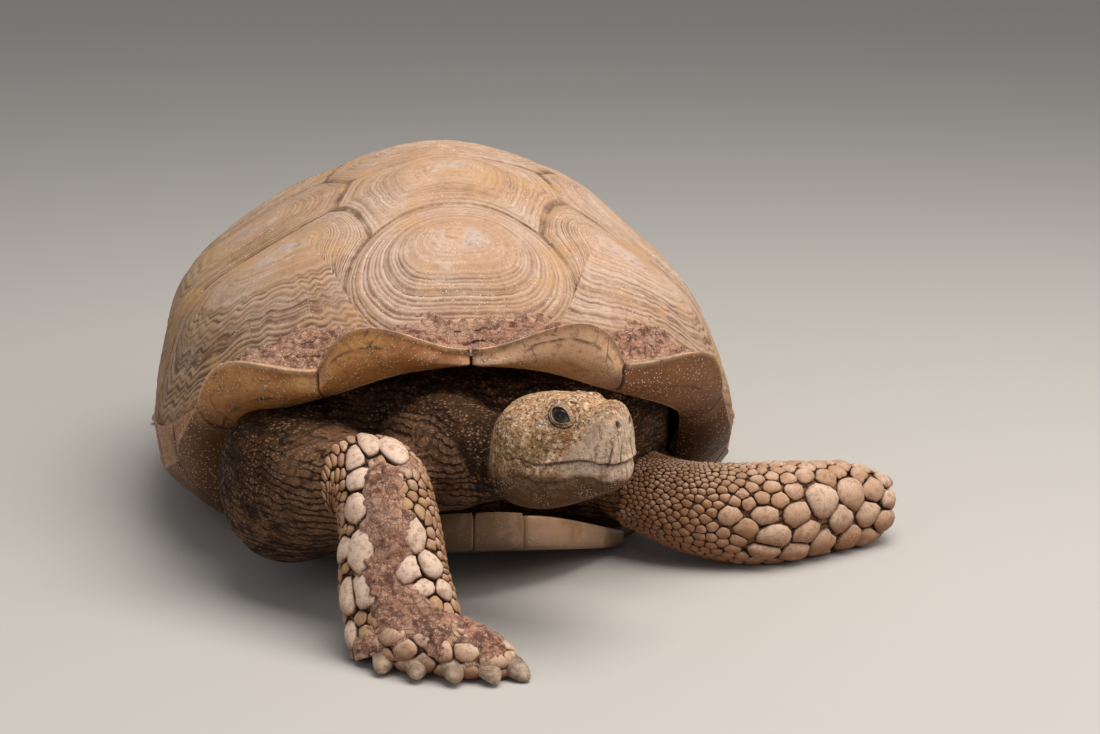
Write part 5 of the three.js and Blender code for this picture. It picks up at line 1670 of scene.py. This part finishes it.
def makeScales(name, limb, sizeAt, zone, seed, heights, fixed=(), tilt=0.06, tones=(0, 1)):
    # each scale fills its cell between its neighbours, rounded at the corners and domed
    lattice = Lattice(limb)
    x, q, long, broad = scatterScales(lattice, sizeAt, zone, seed, fixed)
    near = nearOnes(lattice, x, q, 11)
    sides, shares = scaleShape["sides"], np.array(scaleShape["rings"])
    theta = turns(sides)
    dx, dy = x[near] - x[:, None], wrapped(q[near] - q[:, None]) * lattice.girth(x)[:, None]
    gap, bearing = np.hypot(dx, dy), np.arctan2(dy, dx)
    size = (long + broad) / 2
    reachOwn = 1 / np.hypot(np.cos(bearing) / long[:, None], np.sin(bearing) / broad[:, None])
    reachNear = 1 / np.hypot(np.cos(bearing) / long[near], np.sin(bearing) / broad[near])
    border = gap * reachOwn / (reachOwn + reachNear)
    facing = np.maximum(0, np.cos(theta[None, :, None] - bearing[:, None, :]))
    limit = scaleShape["largest"] / np.hypot(np.cos(theta) / long[:, None], np.sin(theta) / broad[:, None])
    corner = scaleShape["corner"]
    closeness = ((facing / border[:, None, :]) ** corner).sum(2) + (1 / limit) ** corner
    radius = closeness ** (-1 / corner) * scaleShape["gap"]
    pick = np.random.default_rng(seed + 1)
    radius = radius * (1 + scaleShape["uneven"] * pick.standard_normal(radius.shape))
    height = (heights[0] + heights[1] * size) * pick.uniform(0.8, 1.2, len(x))
    lean = pick.normal(0, scaleShape["lean"], (len(x), 2)) + [tilt, 0]
    rise = 1 - shares ** scaleShape["doming"]
    # offsets of each ring's points along and across the limb, and their heights
    ahead = shares[None, :, None] * (radius * np.cos(theta))[:, None, :]
    across = shares[None, :, None] * (radius * np.sin(theta))[:, None, :]
    lift = (rise[None, :, None] * 0.75 + 0.25) * height[:, None, None] - scaleShape["sunk"]
    lift = lift + ahead * lean[:, 0, None, None] + across * lean[:, 1, None, None]
    lift[:, -1] = -scaleShape["buried"]
    # a scale's points: the top's middle, the rings, the bottom's middle
    middle = np.zeros((len(x), 1))
    ahead, across = (np.hstack([middle, offset.reshape(len(x), -1), middle]) for offset in (ahead, across))
    lift = np.hstack([height[:, None] - scaleShape["sunk"], lift.reshape(len(x), -1),
                      middle - scaleShape["buried"]])
    allX = np.clip(x[:, None] + ahead, lattice.run[0], lattice.run[-1])
    allQ = q[:, None] + across / lattice.girth(x)[:, None]
    points = lattice.read(lattice.points, allX, allQ) + lattice.read(lattice.normals, allX, allQ) * lift[..., None]
    points[..., 2] = np.maximum(points[..., 2], 0.3 + 0.25 * (lift + scaleShape["buried"]))
    count, each = points.shape[:2]
    ring = np.arange(sides)
    walls = gridFaces(len(shares), sides, wrapColumns=True)[:, ::-1] + 1
    floor = fanFaces(ring[::-1] + each - 1 - sides, each - 1)
    offsets = (np.arange(count) * each)[:, None, None]
    faces = [(group[None] + offsets).reshape(-1, group.shape[1]) for group in (walls, fanFaces(ring + 1, 0), floor)]
    edge = np.r_[0, np.repeat(shares, sides), 1]
    values = {"edge": np.tile(edge, count), "tone": np.repeat(pick.uniform(*tones, count), each),
              "size": np.repeat(size, each)}
    # in the bake map each scale is a small patch about its own place
    patch = 0.0015 / np.maximum(size, 1)[:, None]
    bakeMap = np.stack([q[:, None] + across * patch,
                        x[:, None] / lattice.run[-1] + (allX - x[:, None]) * patch], -1)
    print(name, count, "scales")
    return makePiece(name, points * mm, faces, scaleFinish, values, bakeMap=bakeMap.reshape(-1, 2))


scaleLook = {
    "pale": (0.70, 0.52, 0.40), "tan": (0.45, 0.26, 0.15), "bead": (0.27, 0.13, 0.056),
    "yellow": (0.42, 0.26, 0.075), "rust": (0.22, 0.085, 0.034), "edge": (0.05, 0.023, 0.013),
    "clay": (0.44, 0.255, 0.18), "sand": (0.80, 0.65, 0.52),
}


def scaleMaterial():
    # dark beads to pale plates by size and tone, paler above, rusty below, dark at the edge
    f = Finish("limbScale")
    edge, tone, size = f.values("edge", "tone", "size")
    sand = f.specks(0.0019, 0.14, 0.30) * f.patches(0.015, 0.46, 0.62, 3)
    colour = f.layered(
        f.shade(size.between(5.0, 13.0), scaleLook["bead"], scaleLook["tan"]), scaleLook,
        (size.between(12.0, 19.0) * tone.between(-0.2, 0.7), "pale"),
        (tone.between(0.80, 0.92) * (1 - size.between(14, 20)) * 0.5, "yellow"),
        (f.facing(0.25, 0.95) * f.patches(0.02, 0.35, 0.6, 3) * 0.55, "pale"),
        ((1 - f.facing(-0.6, 0.35)) * 0.88, "rust"),
        (f.patches(0.03, 0.52, 0.68, 3) * 0.5, "clay"),
        (f.patches(0.005, 0.44, 0.64, 4, 0.7) * 0.5, "rust"),
        (edge.between(0.90, 1.0) * 0.9, "edge"),
        (sand * 0.6, "sand"))
    bump = f.grain(0.003, 5, 0.65) * 0.6 + sand * 0.4
    return f.finish(colour, 0.62 + 0.2 * f.grain(0.01, 3), bump, 0.0005, Specular_IOR_Level=0.3)


scaleFinish = scaleMaterial()

# large plates of the right foreleg: station, degrees round, length and breadth
rightPlates = [[2.93, 88, 20, 26], [3.11, 62, 24, 24], [3.05, 106, 20, 24], [3.34, 110, 22, 26], [3.80, 118, 27, 24],
               [4.50, 116, 40, 24], [5.20, 112, 36, 24], [5.24, 141, 34, 18], [5.0, 68, 38, 22], [4.94, 40, 38, 23],
               [5.42, 56, 18, 24], [5.55, 24, 18, 22], [4.34, 58, 22, 22], [4.4, 150, 26, 18], [6.0, 150, 30, 18]]
leftPlates = [[2.46, 84, 17, 16], [2.72, 96, 17, 16], [2.95, 82, 20, 16], [3.1, 104, 24, 20], [3.0, 126, 22, 18],
              [3.45, 84, 25, 20], [3.65, 106, 26, 21], [3.55, 132, 27, 22], [4.05, 72, 34, 26], [4.1, 128, 30, 24],
              [4.85, 66, 34, 27], [5.0, 128, 28, 24], [5.5, 96, 24, 22], [5.7, 62, 22, 20], [5.6, 136, 26, 22],
              [6.2, 112, 22, 20]]


# size of the scales by station, from the root of each limb to its end
scaleSizes = {
    "forelegRight": [[2.4, 5], [2.9, 7], [4, 8.5], [5.4, 11], [6.2, 15], [7, 17]],
    "forelegLeft": [[1.0, 3.9], [1.9, 6.0], [2.6, 9.5], [3.4, 15.5], [4.4, 21], [5.4, 22], [7, 20]],
    "hindleg": [[1.0, 7], [1.8, 10], [3, 14], [4.2, 16]],
}


def makeLimbScales():
    # heights is a scale's height at size 0 and how much more each millimetre of its size gives
    plate, bead = (1.0, 0.17), (0.9, 0.20)

    def rightSize(t, turn):
        # larger on the front of the limb
        front = np.cos(np.radians(turn - 90))
        return along(scaleSizes["forelegRight"], t) * (0.75 + 0.3 * np.maximum(front, 0))

    def rightZone(t, turn):
        # starts lower down behind the limb
        behind = np.cos(np.radians(turn - 90)) < -0.2
        return (t > 2.75 + 0.35 * behind) & (t < 6.75)

    def leftSize(t, turn):
        # larger on the upper front edge
        front = np.clip(np.cos(np.radians(turn - 115)), -0.3, 1)
        return along(scaleSizes["forelegLeft"], t) * (0.80 + 0.28 * front)

    def within(start, end, until=360):
        # a zone between two stations, and up to a turn in degrees
        return lambda t, turn: (t > start) & (t < end) & (turn < until)

    makeScales("scalesForelegRight", "forelegRight", rightSize, rightZone, 210, plate, rightPlates, 0.10, (0.3, 1.0))
    makeScales("scalesHandRight", "handRight", lambda t, turn: np.where(t < 1, 13, 15), within(0.5, 3.6, 215), 220,
               plate, tilt=0.10)
    makeScales("scalesForelegLeft", "forelegLeft", leftSize, within(0.9, 6.85), 230, bead, leftPlates, 0.08,
               (-0.2, 0.32))
    for word, seed in (("Left", 240), ("Right", 250)):
        makeScales(f"scalesHindleg{word}", f"hindleg{word}", lambda t, turn: along(scaleSizes["hindleg"], t),
                   within(1.3, 3.85), seed, plate, tilt=0.10)
    makeScales("scalesTail", "tail", lambda t, turn: 7.5 - 0.9 * t, within(0.6, 3.8), 260, bead, tilt=0.12)


makeLimbScales()
print("scales")

# the claws: size is length, half width and drop; a root is its place, and its heading in degrees from
# the animal's front towards its left
claws = {
    "ForelegRight": {"size": (25, 10.5, 6), "roots": [[-84, -504, 12, -12], [-61, -521, 13, -3], [-35, -532, 13, 7],
                                                     [-9, -535, 12, 20], [11, -530, 10, 34]]},
    "ForelegLeft": {"size": (19, 9.5, 4), "roots": [[371, -228, 11, 108], [385, -220, 24, 110], [390, -212, 39, 112],
                                                 [388, -208, 54, 114]]},
    "HindlegLeft": {"size": (24, 11, 6), "roots": [[244, 220, 12, 48], [262, 238, 13, 66], [270, 260, 13, 84],
                                                   [262, 284, 12, 104]]},
}
claws["HindlegRight"] = {"size": claws["HindlegLeft"]["size"],
                         "roots": [[-x, y, z, -heading] for x, y, z, heading in claws["HindlegLeft"]["roots"]]}
clawLook = {"dark": (0.24, 0.155, 0.10), "pale": (0.42, 0.31, 0.22), "root": (0.12, 0.062, 0.038),
            "stain": (0.15, 0.085, 0.052), "sand": (0.62, 0.48, 0.36)}


def makeClaws(word):
    # blunt cones: a flattened section shrinking along a path that bends down to the ground
    length, radius, drop = claws[word]["size"]
    rows, columns = 26, 28
    s = np.linspace(-0.5, 1, rows)[:, None]
    turn = turns(columns)[None, :]
    beyond = np.clip(s, 0, 1)
    shrink = np.sqrt(np.maximum(1 - beyond ** 3.2, 0.02)) * (1 - 0.2 * beyond)
    parts, faces = [], []
    for number, (x, y, z, heading) in enumerate(claws[word]["roots"]):
        ahead = np.array([np.sin(np.radians(heading)), -np.cos(np.radians(heading)), 0])
        side = np.array([-ahead[1], ahead[0], 0])
        field = np.stack([s * 4 + 0 * turn, np.cos(turn) + 0 * s, np.sin(turn) + number + 0 * s], -1)
        grow = 1 + 0.05 * roughness(field, 0.7, 300 + number)
        across = radius * shrink * np.cos(turn) * grow
        up = radius * 0.82 * shrink * power(np.sin(turn), 0.9) * grow
        grid = np.array([x, y, z]) + ahead * (length * s)[..., None] + side * across[..., None]
        grid[..., 2] = np.maximum(grid[..., 2] + up - drop * beyond ** 1.5, 0.5)
        parts.append(withPoles(grid))
        faces.append(tubeFaces(rows, columns, number * (rows * columns + 2)))
    tips = np.tile(np.r_[np.repeat(s.ravel(), columns), -0.5, 1], len(parts))
    makePiece(f"claws{word}", np.vstack(parts) * mm, [np.vstack(group) for group in zip(*faces)], clawFinish,
              {"tip": tips})


def clawMaterial():
    # streaked horn, dark at the root, sandy
    f = Finish("claw")
    tip, = f.values("tip")
    sand = f.specks(0.002, 0.14, 0.32) * f.patches(0.01, 0.42, 0.6, 3)
    colour = f.layered(
        f.shade(f.patches(0.01, 0.35, 0.65, 4, 0.6, (1, 1, 2)), clawLook["dark"], clawLook["pale"]), clawLook,
        ((1 - tip.between(-0.1, 0.45)) * 0.85, "root"),
        (f.patches(0.006, 0.46, 0.62, 4, 0.65) * 0.6, "stain"),
        (sand * 0.7, "sand"))
    return f.finish(colour, 0.55, f.grain(0.0025, 4) * 0.5 + sand * 0.5, 0.0005, Specular_IOR_Level=0.4)


clawFinish = clawMaterial()
for word in claws:
    makeClaws(word)
print("claws")

# the mud in the hollow behind the rim and on the right foreleg
mud = {
    "reach": 62,  # degrees to either side of the front, behind the rim
    "thick": 11, "under": 4,  # of the mud behind the rim, and how deep a bare place sinks
    "armThick": 4.6, "handThick": 3.6,
    # how much mud lies in the hollow behind the rim, by degrees from the front, right side negative
    "gutter": [[-62, 0.1], [-54, 0.5], [-46, 0.9], [-36, 1.1], [-28, 1.1], [-17, 0.7], [-8, 0.85], [0, 0.95],
               [8, 0.95], [16, 0.6], [26, 0.5], [34, 1.0], [42, 1.0], [50, 0.6], [62, 0.0]],
    # the strip on the right foreleg, by station: half its width and its middle, in degrees
    "armWidth": [[3.0, 9], [3.6, 20], [4.6, 26], [5.2, 20], [5.8, 34], [7, 60]],
    "armMiddle": [[3.0, 84], [4.0, 84], [4.6, 86], [5.2, 96], [5.8, 84], [7, 84]],
    "dark": (0.125, 0.056, 0.037), "clay": (0.39, 0.205, 0.135), "pale": (0.60, 0.385, 0.275),
    "sand": (0.84, 0.69, 0.57), "dry": (0.47, 0.30, 0.205),
}


def fromEnds(count):
    # the share of the way in from the nearer end
    return np.minimum(np.linspace(0, 1, count), np.linspace(1, 0, count))


def mudSheet(name, base, normal, fill, thick, seed):
    # a closed sheet over a grid surface: lumpy and thick where fill is above 0, sunk where it is below
    rows, columns = base.shape[:2]
    lumps = 0.5 + 0.5 * roughness(base, 9.0, seed, 3)
    crumbs = np.abs(noise(base, 4.0, seed + 1)) + 0.6 * np.abs(noise(base, 2.2, seed + 2))
    raised = thick * smooth(0, 0.75, fill) * (0.45 + 0.9 * lumps) + 1.8 * crumbs * smooth(0, 0.2, fill) + 0.4
    lift = np.where(fill > 0, raised, -mud["under"] * smooth(0, 0.10, -fill))
    border = smooth(0, 0.03, fromEnds(rows))[:, None] * smooth(0, 0.06, fromEnds(columns))[None, :]
    lift = mixed(-mud["under"], lift, border)
    grid = np.stack([base + normal * lift[..., None], base - normal * (mud["under"] + 1.5)])
    grid[..., 2] = np.maximum(grid[..., 2], np.array([0.5, 0.3])[:, None, None])
    # the wall runs once round both sides' borders
    top = np.arange(rows * columns).reshape(rows, columns)
    ring = np.r_[top[0, :], top[1:, -1], top[-1, -2::-1], top[-2:0:-1, 0]]
    below = ring + rows * columns
    walls = np.stack([ring, np.roll(ring, -1), np.roll(below, -1), below], 1)
    sheet = gridFaces(rows, columns)
    faces = [sheet, (sheet + rows * columns)[:, ::-1], walls[:, ::-1]]
    # where the sheet is thin it has dried pale
    thin = np.stack([1 - smooth(0.02, 0.40, fill), np.ones_like(fill)])
    return makePiece(name, grid * mm, faces, mudFinish, {"thin": thin.ravel()})


def makeGutterMud():
    # packed in the hollow behind the flared rim
    rows, columns = 430, 50
    angle = np.radians(np.linspace(-mud["reach"], mud["reach"], rows))
    index = np.clip(np.searchsorted(sutures, np.abs(angle)) - 1, 0, 10)
    share = (np.abs(angle) - sutures[index]) / (sutures[index + 1] - sutures[index])
    controls = rimControls(angle, index, swollen(share, index))
    seam = domeAt(angle, 1.0, 0.0) / mm
    lines = np.stack([domeAt(angle, 0.80, -1.0) / mm, domeAt(angle, 0.90, -0.5) / mm, seam, controls[:, 1],
                      mixed(controls[:, 1], controls[:, 2], 0.75)], 1)
    v = np.linspace(0, 4, columns)
    k = np.minimum(v.astype(int), 3)
    base = mixed(lines[:, k], lines[:, k + 1], (v - k)[None, :, None])
    normal = normalsOf(base, False)
    normal *= np.sign(normal[..., 2].mean())
    amount = along(mud["gutter"], np.degrees(angle))[:, None]
    low = bell(v - 2.4, 1.15)[None, :]
    ragged = 0.16 * noise(base, 5.0, 402) + 0.18 * noise(base, 2.8, 403)
    fill = amount * (0.10 + 1.1 * low) + 0.42 * roughness(base, 34.0, 400, 4) + ragged - 0.42
    mudSheet("gutterMud", base, normal, fill, mud["thick"], 401)


def limbMud(name, limb, stations, degrees, rows, columns, amount, thick, seed):
    # plastered over part of a limb; amount is a function of the station number and the turn
    t, turn = np.meshgrid(np.linspace(*stations, rows), np.linspace(*degrees, columns), indexing="ij")
    base = limbSurface(limb, t, np.radians(turn))
    normal = normalsOf(base, False)
    centre = limbFrame(limb, t)[0]
    normal *= np.sign(((base - centre) * normal).sum(-1).mean())
    fill = amount(t, turn) + 0.8 * roughness(base, 15.0, seed, 4) - 0.3
    mudSheet(name, base, normal, fill, thick, seed + 1)


def armMud(t, turn):
    # a strip down the middle of the forearm that broadens over the wrist
    return bell(turn - along(mud["armMiddle"], t), along(mud["armWidth"], t)) * smooth(3.0, 3.4, t)


def handMud(t, turn):
    # the top of the hand, from the wrist to the claws
    return 0.88 * smooth(0.1, 0.6, t) * (1 - smooth(3.1, 3.7, t)) * bell(turn - 95, 70)


def mudMaterial():
    # clay in dark and dry patches, cracked in cells, with pale sand
    f = Finish("mud")
    thin, = f.values("thin")
    borders = 1 - f.cells(0.009, "DISTANCE_TO_EDGE").between(0.0, 0.07)
    sand = f.specks(0.0022, 0.12, 0.26) * f.patches(0.01, 0.42, 0.6, 2)
    colour = f.layered(
        f.shade(f.patches(0.012, 0.40, 0.56, 5, 0.65), mud["dark"], mud["clay"]), mud,
        (f.patches(0.045, 0.50, 0.66, 3) * 0.55, "dry"),
        (thin * f.patches(0.008, 0.36, 0.56, 4, 0.65) * 0.8, "dry"),
        (f.patches(0.004, 0.52, 0.7) * 0.7, "pale"),
        (borders * 0.75, "dark"),
        (f.patches(0.0018, 0.50, 0.64, 3, 0.7) * 0.5, "dark"),
        (sand * 0.75, "sand"))
    bump = f.grain(0.003, 5, 0.7) + sand * 0.5
    return f.finish(colour, 0.9, bump, 0.0012, Specular_IOR_Level=0.2)


mudFinish = mudMaterial()
makeGutterMud()
limbMud("armMud", "forelegRight", (2.9, 6.95), (5, 175), 190, 124, armMud, mud["armThick"], 420)
limbMud("handMud", "handRight", (0.05, 3.8), (5, 205), 120, 104, handMud, mud["handThick"], 430)
print("mud")


stage = {
    "floorHalf": 6.0, "floorThick": 0.02, "floor": (0.50, 0.475, 0.445),
    "sky": (0.95, 0.97, 1.0), "skyStrength": 0.30, "aim": (0, -0.1, 0.15),
    # name, place, size, watts and colour of each lamp
    "lamps": (("overhead", (0.6, -0.6, 2.4), 2.0, 72, (1.0, 0.955, 0.90)),
              ("key", (2.2, -1.8, 1.9), 1.4, 22, (1.0, 0.94, 0.86)),
              ("fill", (-1.8, -2.8, 1.0), 1.8, 9, (0.95, 0.97, 1.0))),
}


def makeFloor():
    # a thin box whose top is at Z = 0
    half, thick = stage["floorHalf"], stage["floorThick"]
    points = [(x * half, y * half, z) for z in (0, -thick) for x, y in ((-1, -1), (1, -1), (1, 1), (-1, 1))]
    material = Finish("paleFloor").finish(stage["floor"], 0.85)
    mesh = bpy.data.meshes.new("floor")
    walls = [(i, i + 4, (i + 1) % 4 + 4, (i + 1) % 4) for i in range(4)]
    mesh.from_pydata(points, [], [(0, 1, 2, 3), (7, 6, 5, 4), *walls])
    mesh.materials.append(material)
    placed("floor", mesh)


cameraPlace = {"azimuth": -7.0, "elevation": 13.9, "roll": 0.4, "place": (-0.184, -2.377, 0.711),
               "focal": 2493, "imageWidth": 1100, "sensor": 36.0}


def makeCamera():
    # a focal length in image pixels becomes one in millimetres of the sensor
    data = bpy.data.cameras.new("camera")
    data.sensor_width = cameraPlace["sensor"]
    data.lens = cameraPlace["focal"] / cameraPlace["imageWidth"] * cameraPlace["sensor"]
    data.clip_end = 50
    camera = placed("camera", data)
    camera.location = cameraPlace["place"]
    turn = Euler((np.radians(90 - cameraPlace["elevation"]), 0, np.radians(cameraPlace["azimuth"]))).to_matrix()
    camera.rotation_euler = (turn @ Matrix.Rotation(np.radians(cameraPlace["roll"]), 3, "Z")).to_euler()
    bpy.context.scene.camera = camera


def makeLights():
    # a soft sky, a broad light overhead towards the animal's left, and two weaker ones in front
    world = bpy.data.worlds.new("studio")
    world.use_nodes = True
    background = world.node_tree.nodes["Background"].inputs
    background["Color"].default_value = (*stage["sky"], 1)
    background["Strength"].default_value = stage["skyStrength"]
    bpy.context.scene.world = world
    bpy.context.scene.view_settings.view_transform = "Standard"
    for name, place, size, watts, colour in stage["lamps"]:
        data = bpy.data.lights.new(name, "AREA")
        data.size, data.energy, data.color = size, watts, colour
        light = placed(name, data)
        light.location = place
        light.rotation_euler = (Vector(stage["aim"]) - Vector(place)).to_track_quat("-Z", "Y").to_euler()


makeFloor()
makeCamera()
makeLights()
print("stage")

shown = [o.data for o in bpy.data.objects if o.type == "MESH" and not o.hide_render]
print("triangles", sum(len(mesh.loops) - 2 * len(mesh.polygons) for mesh in shown))
